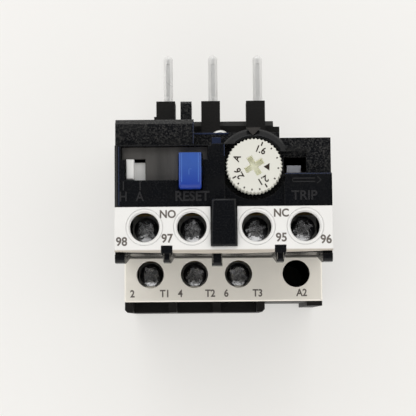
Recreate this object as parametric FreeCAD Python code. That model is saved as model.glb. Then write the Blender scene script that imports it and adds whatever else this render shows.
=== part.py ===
import FreeCAD, Part
import math
import os

# Thermal overload relay for a 45 mm contactor, lying on its back.
# +X is right, +Y points along the contact pins, +Z out of the front. The back is Z = 0.
# All sizes are in millimetres.

# --- overall body -----------------------------------------------------------------------
WIDTH = 45.4
WALL = 1.5
REAR_COVER = 2.0              # thickness of the sheet that closes the back
REAR_FRONT = 38.0             # front face of the rear housing
CONTROL_DEPTH = 23.6          # front housing, from the rear housing to its front face
BLOCK_STEP = 2.4              # the upper blocks lie this far behind the front face
MIDDLE_STEP = 4.1             # so does the ledge between them
LOWER_STEP = 0.6              # and the face below the dial
TERMINAL_STEP = 5.2           # power terminal block, behind the rear housing's front
TERMINAL_INSET = 0.3          # it ends this far inside the right side
FIT = 0.1                     # clearance of parts that drop into a pocket
RUN = 0.25                    # clearance beside parts that slide or turn
SEAM = 0.05                   # gap between flat faces that meet
EDGE = 0.6                    # small edge chamfer on the mouldings

LEFT = -WIDTH / 2
RIGHT = WIDTH / 2
FRONT = REAR_FRONT + CONTROL_DEPTH
BLOCK_FACE = FRONT - BLOCK_STEP
MIDDLE_FACE = FRONT - MIDDLE_STEP
FRONT_INNER = BLOCK_FACE - WALL       # inner side of the front housing's front wall
TERMINAL_FRONT = REAR_FRONT - TERMINAL_STEP
TERMINAL_RIGHT = RIGHT - TERMINAL_INSET

# --- heights of the stepped upper edge, and of the lower edge ------------------------------
REAR_TOP = 14.45
REAR_TOP_RIGHT = 11.5         # the tall part of the rear housing ends here
REAR_TOP_BEVEL = 1.2
REAR_STEP = 13.0
REAR_STEP_RIGHT = 12.9
RIGHT_BLOCK_TOP = 7.5
RIGHT_BLOCK_LEFT = 12.0
LEFT_BLOCK_TOP = 11.75
LEFT_BLOCK_RIGHT = -6.15
LEFT_BLOCK_BOTTOM = 6.1
LEFT_BLOCK_BEVEL = 1.04
MIDDLE_TOP = 8.95
LOWER_LEFT_TOP = 5.9          # top of the frame round the window
LOWER_RIGHT_TOP = -0.2
LOWER_RIGHT_LEFT = 12.8
FRONT_BOTTOM = -16.2
REAR_BOTTOM = -16.2
TERMINAL_BOTTOM = -28.8
RIGHT_TERMINAL_BOTTOM = -26.5
FOOT_WIDTH = 3.5
FOOT_DROP = 1.0

# --- poles: pins, sleeves, chambers ------------------------------------------------------
POLES = 3
POLE_PITCH = 10.05
FIRST_PIN = -12.12
PIN_RADIUS = 1.05
PIN_ROOT = 0.8                # radius inside the sleeve's mouth
PIN_LIFT = 2.4                # pin axis in front of the rear housing's front face
PIN_TIP = 28.95
PIN_GROOVE = 0.7
PIN_GROOVE_DEPTH = 0.12
SLEEVE = 4.2
SLEEVE_SHIFT = -0.55          # sleeve from its pin
SLEEVE_TOP = 18.25
SLEEVE_INNER = 8.6
SLEEVE_MOUTH = 0.6            # length of the round bore at the sleeve's end
STRAP_WIDTH = 2.4
STRAP = 1.0
STRAP_SHIFT = -0.3            # strap from its pin
STRAP_DROP = 10.9             # the strap turns down into the chamber here
TERMINAL_SHIFT = -4.6         # terminal screw from its pin
CHAMBER_WALL = 1.2
CHAMBER_RIGHT = 2.55          # partition wall from its pin
SHOULDER_WIDTH = 0.6          # small step beside the first sleeve
SHOULDER_TOP = 15.1

PIN_AXIS = REAR_FRONT + PIN_LIFT
PIN_X = [FIRST_PIN + k * POLE_PITCH for k in range(POLES)]
POWER_X = [x + TERMINAL_SHIFT for x in PIN_X]
PARTITION_X = [PIN_X[0] + CHAMBER_RIGHT - POLE_PITCH] + [x + CHAMBER_RIGHT for x in PIN_X]
SLEEVE_BORE = PIN_ROOT + SEAM
SLEEVE_FRONT = PIN_AXIS + SLEEVE / 2
PIN_START = SLEEVE_TOP - SLEEVE_MOUTH + FIT   # the pin's root starts inside the mouth

# --- thermal system ----------------------------------------------------------------------
BIMETAL_SHIFT = -2.6          # bimetal from its pin
BIMETAL = 0.9
BIMETAL_WIDTH = 6.0
BIMETAL_TIP_WIDTH = 3.6
BIMETAL_SHOULDER = 3.0
BIMETAL_TOP = 9.6
BIMETAL_END = -9.8
BIMETAL_AXIS = 21.5
BIMETAL_WELD = 2.0            # length welded to the pin's strap
HEATER_TURNS = 7
HEATER_TOP = 7.4
HEATER_BOTTOM = -5.2
RIBBON_WIDTH = 1.1
RIBBON = 0.3
HEATER_GAP = 0.45
BAR_TOP = -10.8
BAR_BOTTOM = -13.2
BAR = 1.1
BAR_GAP = 0.4
BAR_LEFT = -17.6
BAR_TRAVEL = 1.5
FINGER = 1.0
FINGER_LENGTH = 2.4
FINGER_GAP = 0.2

# --- power terminals -----------------------------------------------------------------------
POWER_Y = -20.15
ACCESS_HOLE = 3.1
POWER_COVER = 1.2
POWER_COVER_BOTTOM = -26.4
POWER_COVER_TAB = 2.2
POWER_COVER_TAB_REACH = 1.0
POWER_RIB = 1.8
POWER_PLATE_STEP = 6.0        # terminal plates, behind the block's front
POWER_PLATE = 1.2
TONGUE_STRAP = 2.4            # width of the plate's tongue through the lower wall
TAB = 0.8                     # sheet of the tab welded to the heater
TAB_LENGTH = 3.6
COIL_PASSAGE_X = 16.49
SCREW_HEAD = 2.65
SCREW_HEAD_HEIGHT = 2.3
SCREW_CROSS = 1.6
SCREW_CROSS_WIDTH = 0.8
SCREW_CROSS_DEPTH = 1.4
HEAD_CROWN = 0.6
SCREW_SHANK = 1.75
SHANK_POINT = 0.4
POWER_SCREW_REACH = 8.5
CLAMP = 6.0
CLAMP_SHEET = 1.1
CLAMP_LIP = 0.3

POWER_RIBS = [POWER_X[0] + (k - 0.5) * POLE_PITCH for k in range(POLES + 1)]
RIGHT_TERMINAL_LEFT = POWER_RIBS[POLES] + POWER_RIB / 2
POWER_PLATE_FRONT = TERMINAL_FRONT - POWER_PLATE_STEP

# --- control terminals ---------------------------------------------------------------------
CONTROL_Y = -11.35
CONTROL_X = {"98": -16.47, "97": -6.6, "95": 6.92, "96": 17.0}
CONTROL_HOLE = 3.1
CONTROL_HOLE_RING = 3.7
CONTROL_COVER = 2.2
CONTROL_COVER_PROUD = 0.4
CONTROL_COVER_TOP = -7.05
CONTROL_COVER_ENDS = -16.4
CONTROL_COVER_MIDDLE = -16.85
CONTROL_COVER_FLAT = 3.0      # half length of its level lower stretch
CONTROL_COVER_ROUND = 0.55
CONTROL_PLATE_STEP = 10.6     # terminal plates, behind the front face
CONTROL_PLATE = 0.8
CONTROL_SCREW_REACH = 8.0
CONTROL_RIB = 2.2
CONTROL_RIB_INSET = 0.95      # middle of the outermost ribs from the sides
CONTROL_RIB_SETBACK = 0.9
RIB_REACH = 1.9               # ribs stand below the front housing by this much
RIB_FALL = 0.7                # the middle rib reaches this much lower
RIB_ROUND = 0.9
RIB_LUG = -15.3               # ribs two and four run up into the cover to here
CONTROL_WALL_TOP = -7.6       # upper end of the control wire pockets
CONTROL_FLOOR = 1.2
POCKET_SIDE = 1.0             # room beside the inner two wire clamps

CONTROL_RIBS = [LEFT + CONTROL_RIB_INSET, -11.84, -1.4, 11.8, RIGHT - CONTROL_RIB_INSET]
CONTROL_COVER_FRONT = FRONT + CONTROL_COVER_PROUD
CONTROL_COVER_SEAT = CONTROL_COVER_FRONT - CONTROL_COVER
CONTROL_PLATE_FRONT = FRONT - CONTROL_PLATE_STEP

# --- dial and setting slide -----------------------------------------------------------------
DIAL_X = 6.5
DIAL_Y = 1.26
DIAL_RADIUS = 5.96
DIAL_TEETH = 46
DIAL_TOOTH = 0.28
DIAL_HEIGHT = 3.6
DIAL_PROUD = 0.9
DIAL_BEVEL = 1.35             # height of the bevelled part of the rim
DIAL_BEVEL_IN = 0.45
DIAL_RECESS_ARM = 2.0
DIAL_RECESS_WIDTH = 0.95
DIAL_RECESS_DEPTH = 1.3
DIAL_RECESS_ANGLE = 30.0
DIAL_TURN = 242.0
WELL_GAP = 1.04               # round well, outside the dial
WELL_BELOW = 0.65             # under the dial
COLLAR_GAP = 0.27
COLLAR_WIDTH = 1.9
COLLAR_RISE = 0.6             # its inner edge lies this far behind the front face
COLLAR_SLOPE = 1.2
COLLAR_RIGHT_END = 4.45
NOTCH_HALF = 1.55
NOTCH_DEPTH = 1.9
NOTCH_FLOOR = 0.9
SHAFT_RADIUS = 1.7
PIVOT_RADIUS = 1.2
CAM_RADIUS = 3.2
CAM_LIFT = 1.2
CAM_HEIGHT = 2.0
CAM_STEP = 6.6                # cam's front, in front of the rear housing's front face
CAM_SPARE = 16.0              # the spiral runs on this many degrees past the turn
CAM_POINTS = 24
SLIDE_PLATE = 1.6
SLIDE_HALF = 1.9
SLIDE_NOSE = 0.6
SLIDE_GAP = 0.08              # between nose and cam
SLIDE_EAR = 0.8
EAR_HALF = 1.2
SLIDE_TAIL = 4.6
FULCRUM_REACH = 8.0           # fulcrum from the dial's axis
FULCRUM_STEP = 2.6            # in front of the rear housing's front face
FULCRUM_RADIUS = 0.7
FULCRUM_BARREL = 1.35
PIN_FIT = 0.02                # pin in the piece that holds it
PIN_RUN = 0.05                # pin in the piece that turns on it

DIAL_FACE = FRONT + DIAL_PROUD
DIAL_BACK = DIAL_FACE - DIAL_HEIGHT
WELL_FLOOR = DIAL_BACK - WELL_BELOW
WELL_RADIUS = DIAL_RADIUS + WELL_GAP
CAM_FRONT = REAR_FRONT + CAM_STEP
FULCRUM_X = DIAL_X + FULCRUM_REACH
FULCRUM_Z = REAR_FRONT + FULCRUM_STEP
COLLAR_INNER = DIAL_RADIUS + COLLAR_GAP

# --- lever, carrier, contacts, flag -----------------------------------------------------------
LEVER_SHEET = 0.8
LEVER_HALF = 1.0
LEVER_DROP = 2.4              # web of the lever below its barrel
STRIP_SHEET = 0.7             # compensating bimetal
STRIP_WELD = 1.0
STRIP_GAP = 0.2               # between the push bar and the compensating bimetal
CARRIER_Y = -3.6
CARRIER_HALF = 1.0
CARRIER_STEP = 8.0            # carrier, in front of the rear housing's front face
CARRIER = 3.0
CARRIER_LEFT = -12.2
CARRIER_RIGHT = 13.3
CARRIER_TRAVEL = 1.25
CARRIER_SLOT = 1.3            # half length of the slot for the trip lever's foot
CARRIER_FLOOR = 0.4
TRIP_PIVOT_X = 14.6
TRIP_PIVOT_STEP = 7.6         # behind the front face
TRIP_BARREL = 1.25
TRIP_BARREL_HALF = 1.2
TRIP_HALF = 0.8
TRIP_ARM = 1.4
TRIP_FOOT_X = 11.6
TRIP_TIP = 2.9                # height of the arm that moves the flag
EAR = 0.7
EAR_WIDTH = 2.2
EAR_BELOW = 1.3
CONTACT_SHEET = 0.4
CONTACT_TIP = 0.6
CONTACT_TIP_HEIGHT = 0.4
CONTACT_GAP = 0.05
NC_TAB = 9.8                  # face of the fixed NC contact strips
NO_TAB = -12.8
NEAR_CONTACT_Y = -5.6
FAR_CONTACT_Y = -1.5
CONTACT_TAB_HALF = 0.6
STRIP_WIDTH = 1.2
BRIDGE_BACK = 0.8             # bridge sheet above the carrier's back
BRIDGE_FRONT = 0.4            # and below its front

CARRIER_BACK = REAR_FRONT + CARRIER_STEP
CARRIER_FRONT = CARRIER_BACK + CARRIER
TRIP_PIVOT_Z = FRONT - TRIP_PIVOT_STEP

# --- front controls -------------------------------------------------------------------------
WINDOW_INSET = 1.4
WINDOW_RIGHT = -3.1
WINDOW_TOP = 5.7
WINDOW_SHOULDER = 2.8
WINDOW_LOWER_LEFT = -20.6
WINDOW_LOWER_RIGHT = -4.0
WINDOW_BOTTOM = -1.5
WINDOW_BAR_LEFT = -3.0
WINDOW_BAR_GAP = 0.2          # between the bar and the dial
WINDOW_BAR_CORNER = 0.8
PLATE_SETBACK = 1.6
PLATE_SHEET = 1.0
PLATE_LEG = 0.9               # square snap legs under the plate
PLATE_LEG_LENGTH = 3.0
SELECTOR_RIGHT = -16.3
SELECTOR_GAP = 0.15
BUTTON_X = -6.85
BUTTON_Y = 0.28
BUTTON_WIDTH = 4.65
BUTTON_HEIGHT = 7.5
BUTTON_PROUD = 1.9
BUTTON_CAP = 6.5              # depth of the cap
BUTTON_ROUND = 1.1
BUTTON_BEVEL = 0.28
BUTTON_STEM = 2.4             # half width of the stem
STEM_BELOW = 0.9              # it ends this far below the button's middle
STEM_STEP = 10.6              # stem's end, behind the front face
BUTTON_FLANGE = 0.7
FLANGE_HALF = 1.6
FLANGE_SHEET = 1.1
SPRING_STEP = 1.6             # spring's seat, in front of the rear housing's front face
SPRING_WIRE = 0.45
SPRING_RADIUS = 1.5
SPRING_TURNS = 5
SPRING_POST = 2.4
WEB_HALF = 0.9
RIDGE_WIDTH = 1.7
RIDGE_TOP = 3.07
RIDGE_BOTTOM = -1.2
RIDGE_PROUD = 0.5
RIDGE_BEVEL = 0.2
SELECTOR_TOP = 2.5
SELECTOR_SHEET = 1.3
SELECTOR_TAIL = 2.6           # hidden part under the plate
TONGUE_X = 0.1
TONGUE_TOP = -5.6
TONGUE_BOTTOM = -15.35
TONGUE_WIDTH_TOP = 5.0
TONGUE_WIDTH_BOTTOM = 5.4
TONGUE_PROUD = 1.4
TONGUE_SHEET = 2.6
TONGUE_ROUND = 0.5
FLAG_LEFT = 13.5
FLAG_WINDOW_RIGHT = 17.5
FLAG_WINDOW_TOP = 3.45
FLAG_WINDOW_BOTTOM = 0.1
FLAG_FACET_TOP = 5.3          # sloped facet above the flag's window
FLAG_SHEET = 0.8
FLAG_GAP = 0.3                # behind the front wall
FLAG_RIGHT = 16.5
FLAG_TOP = 1.8
FLAG_STEM = 1.4

WINDOW_LEFT = LEFT + WINDOW_INSET
WINDOW_BAR_RIGHT = DIAL_X - DIAL_RADIUS - WINDOW_BAR_GAP
FLAG_WINDOW_LEFT = DIAL_X + DIAL_RADIUS + 2 * WINDOW_BAR_GAP
BUTTON_FACE = FRONT + BUTTON_PROUD
BUTTON_BACK = BUTTON_FACE - BUTTON_CAP
STEM_BACK = FRONT - STEM_STEP
SPRING_BACK = REAR_FRONT + SPRING_STEP

# --- hook, front screw and case screws ------------------------------------------------------------
HOOK_LEFT = -9.26
HOOK_RIGHT = -6.81
HOOK_TOP = 17.65
HOOK_STEP = 4.0               # hook's back, in front of the rear housing's front face
HOOK = 4.2
HOOK_CLAW = 1.6
HOOK_CLAW_HEIGHT = 1.0
HOOK_CORNER = 0.5
HOOK_BASE = 0.6
FRONT_SCREW_X = -0.54
FRONT_SCREW_Y = 8.8
FRONT_SCREW_HEAD = 2.3
FRONT_SCREW_POST = 7.5
FRONT_SCREW_HEAD_HEIGHT = 1.5
FRONT_SCREW_DEPTH = 2.8       # into the rear housing's front wall
CASE_SCREW_INSET = 2.6
CASE_BOSS = 1.9
CASE_SCREW = 0.95
CASE_SCREW_LENGTH = 12.0
CASE_SCREW_HEAD = 1.75
COUNTERSINK = 1.0
CASE_SLOT = 0.5
CASE_SLOT_DEPTH = 0.6

HOOK_BACK = REAR_FRONT + HOOK_STEP
HOOK_FRONT = HOOK_BACK + HOOK
FRONT_SCREW_SEAT = REAR_FRONT + FRONT_SCREW_POST
CASE_SCREWS = [
    (LEFT + CASE_SCREW_INSET, REAR_TOP - CASE_SCREW_INSET),
    (LEFT + CASE_SCREW_INSET, REAR_BOTTOM + CASE_SCREW_INSET),
    (RIGHT - CASE_SCREW_INSET, RIGHT_BLOCK_TOP - CASE_SCREW_INSET),
    (RIGHT - CASE_SCREW_INSET, REAR_BOTTOM + CASE_SCREW_INSET),
]

Z_AXIS = FreeCAD.Vector(0, 0, 1)
Y_AXIS = FreeCAD.Vector(0, 1, 0)
X_AXIS = FreeCAD.Vector(1, 0, 0)


# --- shapes used all over ----------------------------------------------------------------------
def vec(x, y, z):
    return FreeCAD.Vector(x, y, z)


def block(x0, x1, y0, y1, z0, z1):
    return Part.makeBox(x1 - x0, y1 - y0, z1 - z0, vec(x0, y0, z0))


def pillar(x, y, z0, z1, radius):
    return Part.makeCylinder(radius, z1 - z0, vec(x, y, z0), Z_AXIS)


def rod_y(x, z, y0, y1, radius):
    return Part.makeCylinder(radius, y1 - y0, vec(x, y0, z), Y_AXIS)


def outline_xy(points, z0, z1):
    corners = [vec(x, y, z0) for x, y in points]
    wire = Part.makePolygon(corners + corners[:1])
    return Part.Face(wire).extrude(vec(0, 0, z1 - z0))


def outline_xz(points, y0, y1):
    corners = [vec(x, y0, z) for x, z in points]
    wire = Part.makePolygon(corners + corners[:1])
    return Part.Face(wire).extrude(vec(0, y1 - y0, 0))


def outline_yz(points, x0, x1):
    corners = [vec(x0, y, z) for y, z in points]
    wire = Part.makePolygon(corners + corners[:1])
    return Part.Face(wire).extrude(vec(x1 - x0, 0, 0))


def join(shapes):
    return shapes[0].multiFuse(shapes[1:]).removeSplitter()


def edges_between(shape, low, high):
    """Edges whose two ends both lie in the box from low to high."""
    def inside(p):
        return all(a - 1e-4 <= v <= b + 1e-4 for v, a, b in zip(p, low, high))
    return [e for e in shape.Edges
            if len(e.Vertexes) == 2 and all(inside(v.Point) for v in e.Vertexes)]


def write(name, shape):
    shape.exportStep("parts/" + name + ".step")


# --- rear half: thermal chambers ---------------------------------------------------------------
def rear_outline(inset, bottom):
    return [
        (LEFT + inset, bottom),
        (RIGHT - inset, bottom),
        (RIGHT - inset, RIGHT_BLOCK_TOP - inset),
        (REAR_STEP_RIGHT - inset, RIGHT_BLOCK_TOP - inset),
        (REAR_STEP_RIGHT - inset, REAR_STEP - inset),
        (REAR_TOP_RIGHT - inset, REAR_STEP - inset),
        (REAR_TOP_RIGHT - inset, REAR_TOP - inset),
        (LEFT + inset, REAR_TOP - inset),
    ]


def slide_notch():
    """Room in the partition walls for the two slide bars."""
    back = BIMETAL_AXIS - BAR_GAP / 2 - BAR - RUN
    front = BIMETAL_AXIS + BAR_GAP / 2 + BAR + RUN
    return block(LEFT + 2 * WALL, RIGHT - 2 * WALL, BAR_BOTTOM - RUN, BAR_TOP + RUN, back, front)


def sleeve(x):
    middle = x + SLEEVE_SHIFT
    half = SLEEVE / 2
    return block(middle - half, middle + half, SLEEVE_INNER, SLEEVE_TOP, REAR_FRONT - WALL, SLEEVE_FRONT)


def sleeve_shoulder():
    """Small step beside the first sleeve."""
    right = PIN_X[0] + SLEEVE_SHIFT - SLEEVE / 2
    return block(right - SHOULDER_WIDTH, right, SLEEVE_INNER, SHOULDER_TOP, REAR_FRONT - WALL, PIN_AXIS)


def strap_room(x):
    """Channel for the pin's strap, up the sleeve and down into the chamber."""
    left = x + STRAP_SHIFT - STRAP_WIDTH / 2 - FIT
    right = x + STRAP_SHIFT + STRAP_WIDTH / 2 + FIT
    thick = STRAP / 2 + FIT
    top = PIN_START + SEAM + FIT
    rise = block(left, right, STRAP_DROP - FIT, top, PIN_AXIS - thick, PIN_AXIS + thick)
    drop = block(left, right, STRAP_DROP - FIT, STRAP_DROP + STRAP + FIT, REAR_FRONT - 2 * WALL,
                 PIN_AXIS + thick)
    return rise.fuse(drop)


def tongue_slot(x):
    """Slot in the lower wall that the power terminal's tongue passes through."""
    half = TONGUE_STRAP / 2 + FIT
    return block(x - half, x + half, REAR_BOTTOM, REAR_BOTTOM + WALL,
                 POWER_PLATE_FRONT - POWER_PLATE - FIT, POWER_PLATE_FRONT + FIT)


def lever_passage():
    """Opening in the rear housing's front wall where the compensating lever comes through."""
    side = 2.0
    return block(FULCRUM_X - side, FULCRUM_X + CAM_LIFT + side, BAR_BOTTOM - RUN, DIAL_Y + SLIDE_HALF,
                 REAR_FRONT - 2 * WALL, REAR_FRONT)


def rear_housing():
    """Brownish black moulding: chambers of the three bimetals, pin sleeves, stepped upper edge."""
    solid = outline_xy(rear_outline(0, REAR_BOTTOM), REAR_COVER, REAR_FRONT)
    top_edges = edges_between(solid, (LEFT, REAR_TOP, REAR_FRONT), (REAR_TOP_RIGHT, REAR_TOP, REAR_FRONT))
    shell = solid.makeChamfer(REAR_TOP_BEVEL, top_edges)
    room = outline_xy(rear_outline(WALL, REAR_BOTTOM + WALL), REAR_COVER, REAR_FRONT - WALL)
    shell = shell.cut(room)
    half = CHAMBER_WALL / 2
    walls = [block(x - half, x + half, REAR_BOTTOM + WALL, REAR_STEP - WALL, REAR_COVER, REAR_FRONT - WALL)
             for x in PARTITION_X]
    bosses = [pillar(x, y, REAR_COVER, REAR_FRONT - WALL, CASE_BOSS).common(solid) for x, y in CASE_SCREWS]
    post = pillar(FRONT_SCREW_X, FRONT_SCREW_Y, REAR_FRONT - WALL, FRONT_SCREW_SEAT, FRONT_SCREW_HEAD)
    shell = join([shell] + walls + bosses + [sleeve(x) for x in PIN_X] + [sleeve_shoulder(), post])
    cuts = [slide_notch(), lever_passage()]
    cuts += [rod_y(x, PIN_AXIS, SLEEVE_TOP - SLEEVE_MOUTH, SLEEVE_TOP + WALL, SLEEVE_BORE) for x in PIN_X]
    cuts += [strap_room(x) for x in PIN_X]
    cuts += [tongue_slot(x) for x in POWER_X]
    cuts += [pillar(x, y, REAR_COVER, REAR_COVER + CASE_SCREW_LENGTH, CASE_SCREW) for x, y in CASE_SCREWS]
    cuts.append(pillar(FRONT_SCREW_X, FRONT_SCREW_Y, REAR_FRONT - FRONT_SCREW_DEPTH, FRONT_SCREW_SEAT,
                       CASE_SCREW))
    return shell.cut(cuts)


def rear_cover():
    """Sheet that closes the chambers from behind, with a rim that locates it."""
    rim_height = 1.0
    sheet = outline_xy(rear_outline(0, REAR_BOTTOM), 0, REAR_COVER)
    sheet = sheet.makeChamfer(EDGE, edges_between(sheet, (LEFT, REAR_BOTTOM, 0), (RIGHT, REAR_TOP, 0)))
    rim = outline_xy(rear_outline(WALL + FIT, REAR_BOTTOM + WALL + FIT), REAR_COVER,
                     REAR_COVER + rim_height)
    inner = outline_xy(rear_outline(2 * WALL, REAR_BOTTOM + 2 * WALL), REAR_COVER, REAR_COVER + rim_height)
    rim = rim.cut(inner)
    half = CHAMBER_WALL / 2 + FIT
    for x in PARTITION_X:
        rim = rim.cut(block(x - half, x + half, REAR_BOTTOM, REAR_TOP, REAR_COVER, REAR_COVER + rim_height))
    corner = CASE_SCREW_INSET + CASE_BOSS + FIT
    for x, y in CASE_SCREWS:
        rim = rim.cut(block(x - corner, x + corner, y - corner, y + corner, REAR_COVER,
                            REAR_COVER + rim_height))
    cover = sheet.fuse(rim.Solids)
    holes = []
    for x, y in CASE_SCREWS:
        holes.append(pillar(x, y, 0, REAR_COVER, CASE_SCREW + FIT))
        holes.append(Part.makeCone(CASE_SCREW_HEAD + FIT, CASE_SCREW + FIT, COUNTERSINK, vec(x, y, 0),
                                   Z_AXIS))
    return cover.cut(holes).removeSplitter()


def case_screws():
    """Countersunk thread-forming screws that hold the rear cover, one solid each."""
    screws = []
    for x, y in CASE_SCREWS:
        head = Part.makeCone(CASE_SCREW_HEAD, CASE_SCREW - 2 * FIT, COUNTERSINK, vec(x, y, FIT), Z_AXIS)
        shank = pillar(x, y, 2 * FIT, CASE_SCREW_LENGTH, CASE_SCREW - SEAM)
        slot = block(x - CASE_SCREW_HEAD, x + CASE_SCREW_HEAD, y - CASE_SLOT / 2, y + CASE_SLOT / 2, 0,
                     CASE_SLOT_DEPTH)
        screws.append(head.fuse(shank).cut(slot).removeSplitter())
    return Part.makeCompound(screws)


def contact_pin(x):
    """Round plug-in pin that stands on its sleeve; below it a flat strap bends down into the chamber."""
    straight = rod_y(x, PIN_AXIS, SLEEVE_TOP, PIN_TIP - PIN_RADIUS, PIN_RADIUS)
    neck = rod_y(x, PIN_AXIS, PIN_START, SLEEVE_TOP, PIN_ROOT)
    tip = Part.makeSphere(PIN_RADIUS, vec(x, PIN_TIP - PIN_RADIUS, PIN_AXIS))
    left = x + STRAP_SHIFT - STRAP_WIDTH / 2
    right = x + STRAP_SHIFT + STRAP_WIDTH / 2
    front = PIN_AXIS + STRAP / 2
    foot = BIMETAL_AXIS + BIMETAL_WIDTH / 2 + STRAP
    root = x + BIMETAL_SHIFT + BIMETAL / 2
    rise = block(left, right, STRAP_DROP, PIN_START + SEAM, PIN_AXIS - STRAP / 2, front)
    drop = block(left, right, STRAP_DROP, STRAP_DROP + STRAP, foot, front)
    cross = block(root, right, STRAP_DROP, STRAP_DROP + STRAP, foot - STRAP_WIDTH, foot)
    pad = block(root, root + STRAP, BIMETAL_TOP - BIMETAL_WELD, STRAP_DROP + STRAP, BIMETAL_AXIS, foot)
    face = PIN_AXIS + PIN_RADIUS
    groove = block(x - PIN_GROOVE / 2, x + PIN_GROOVE / 2, SLEEVE_TOP + PIN_RADIUS,
                   PIN_TIP - 2 * PIN_RADIUS,
                   face - PIN_GROOVE_DEPTH, face)
    return join([straight, tip, neck, rise, drop, cross, pad]).cut(groove)


def bimetal_strip(x):
    """Strip that narrows to a tip between the two slide bars."""
    middle = x + BIMETAL_SHIFT
    half = BIMETAL_WIDTH / 2
    narrow = BIMETAL_TIP_WIDTH / 2
    shoulder = BIMETAL_END + BIMETAL_SHOULDER
    points = [
        (BIMETAL_TOP, BIMETAL_AXIS - half),
        (BIMETAL_TOP, BIMETAL_AXIS + half),
        (shoulder, BIMETAL_AXIS + half),
        (BIMETAL_END, BIMETAL_AXIS + narrow),
        (BIMETAL_END, BIMETAL_AXIS - narrow),
        (shoulder, BIMETAL_AXIS - half),
    ]
    return outline_yz(points, middle - BIMETAL / 2, middle + BIMETAL / 2)


def heater_winding(x):
    """Flat ribbon wound round the bimetal; one face of each turn climbs to the next."""
    middle = x + BIMETAL_SHIFT
    near = BIMETAL / 2 + HEATER_GAP
    wide = BIMETAL_WIDTH / 2 + HEATER_GAP
    pitch = (HEATER_TOP - HEATER_BOTTOM - RIBBON_WIDTH) / HEATER_TURNS
    back = BIMETAL_AXIS - wide
    front = BIMETAL_AXIS + wide
    pieces = []
    for turn in range(HEATER_TURNS):
        y = HEATER_BOTTOM + turn * pitch
        top = y + RIBBON_WIDTH
        pieces.append(block(middle - near - RIBBON, middle - near, y, top, back - RIBBON, front + RIBBON))
        pieces.append(block(middle - near, middle + near, y, top, front, front + RIBBON))
        slope = [(y, front + RIBBON), (top, front + RIBBON), (top + pitch, back - RIBBON),
                 (y + pitch, back - RIBBON)]
        pieces.append(outline_yz(slope, middle + near, middle + near + RIBBON))
        pieces.append(block(middle - near, middle + near + RIBBON, y + pitch, top + pitch, back - RIBBON,
                            back))
    return join(pieces)


def power_terminal(x):
    """Terminal plate with a tongue that reaches into the chamber and a tab to the heater."""
    half = CLAMP / 2
    back = POWER_PLATE_FRONT - POWER_PLATE
    pad = block(x - half, x + half, POWER_Y - half, REAR_BOTTOM - FIT, back, POWER_PLATE_FRONT)
    tab_bottom = HEATER_BOTTOM + HEATER_GAP * 2 - TAB_LENGTH
    tongue = block(x - TONGUE_STRAP / 2, x + TONGUE_STRAP / 2, REAR_BOTTOM - FIT,
                   tab_bottom + TONGUE_STRAP / 2,
                   back, POWER_PLATE_FRONT)
    tab_right = x - TERMINAL_SHIFT + BIMETAL_SHIFT - BIMETAL / 2 - HEATER_GAP - RIBBON
    tab = block(tab_right - TAB, tab_right, tab_bottom, tab_bottom + TAB_LENGTH, back - TAB_LENGTH,
                POWER_PLATE_FRONT)
    plate = join([pad, tongue, tab])
    return plate.cut(pillar(x, POWER_Y, back, POWER_PLATE_FRONT, SCREW_SHANK + FIT))


def terminal_screw(x, y, seat, reach):
    """Pan head screw with a cross recess."""
    top = seat + SCREW_HEAD_HEIGHT
    tip = seat - reach
    head = pillar(x, y, seat, top, SCREW_HEAD)
    head = head.makeChamfer(HEAD_CROWN, [e for e in head.Edges if e.BoundBox.ZMin > top - 1e-4])
    shank = pillar(x, y, tip, seat + EDGE, SCREW_SHANK)
    shank = shank.makeChamfer(SHANK_POINT, [e for e in shank.Edges if e.BoundBox.ZMax < tip + 1e-4])
    half = SCREW_CROSS_WIDTH / 2
    floor = top - SCREW_CROSS_DEPTH
    cross = block(x - SCREW_CROSS, x + SCREW_CROSS, y - half, y + half, floor, top)
    cross = cross.fuse(block(x - half, x + half, y - SCREW_CROSS, y + SCREW_CROSS, floor, top))
    return head.fuse(shank).cut(cross).removeSplitter()


def wire_clamp(x, y, seat):
    """Square saddle washer with two turned-up lips and a hole for the screw."""
    half = CLAMP / 2
    plate = block(x - half, x + half, y - half, y + half, seat, seat + CLAMP_SHEET)
    lips = []
    for side in (-1, 1):
        low, high = sorted((y + side * half, y + side * (half - CLAMP_LIP)))
        lips.append(block(x - half, x + half, low, high, seat, seat + CLAMP_SHEET + 2 * CLAMP_LIP))
    return join([plate] + lips).cut(pillar(x, y, seat, seat + 2 * CLAMP_SHEET, SCREW_SHANK + FIT))


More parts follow.
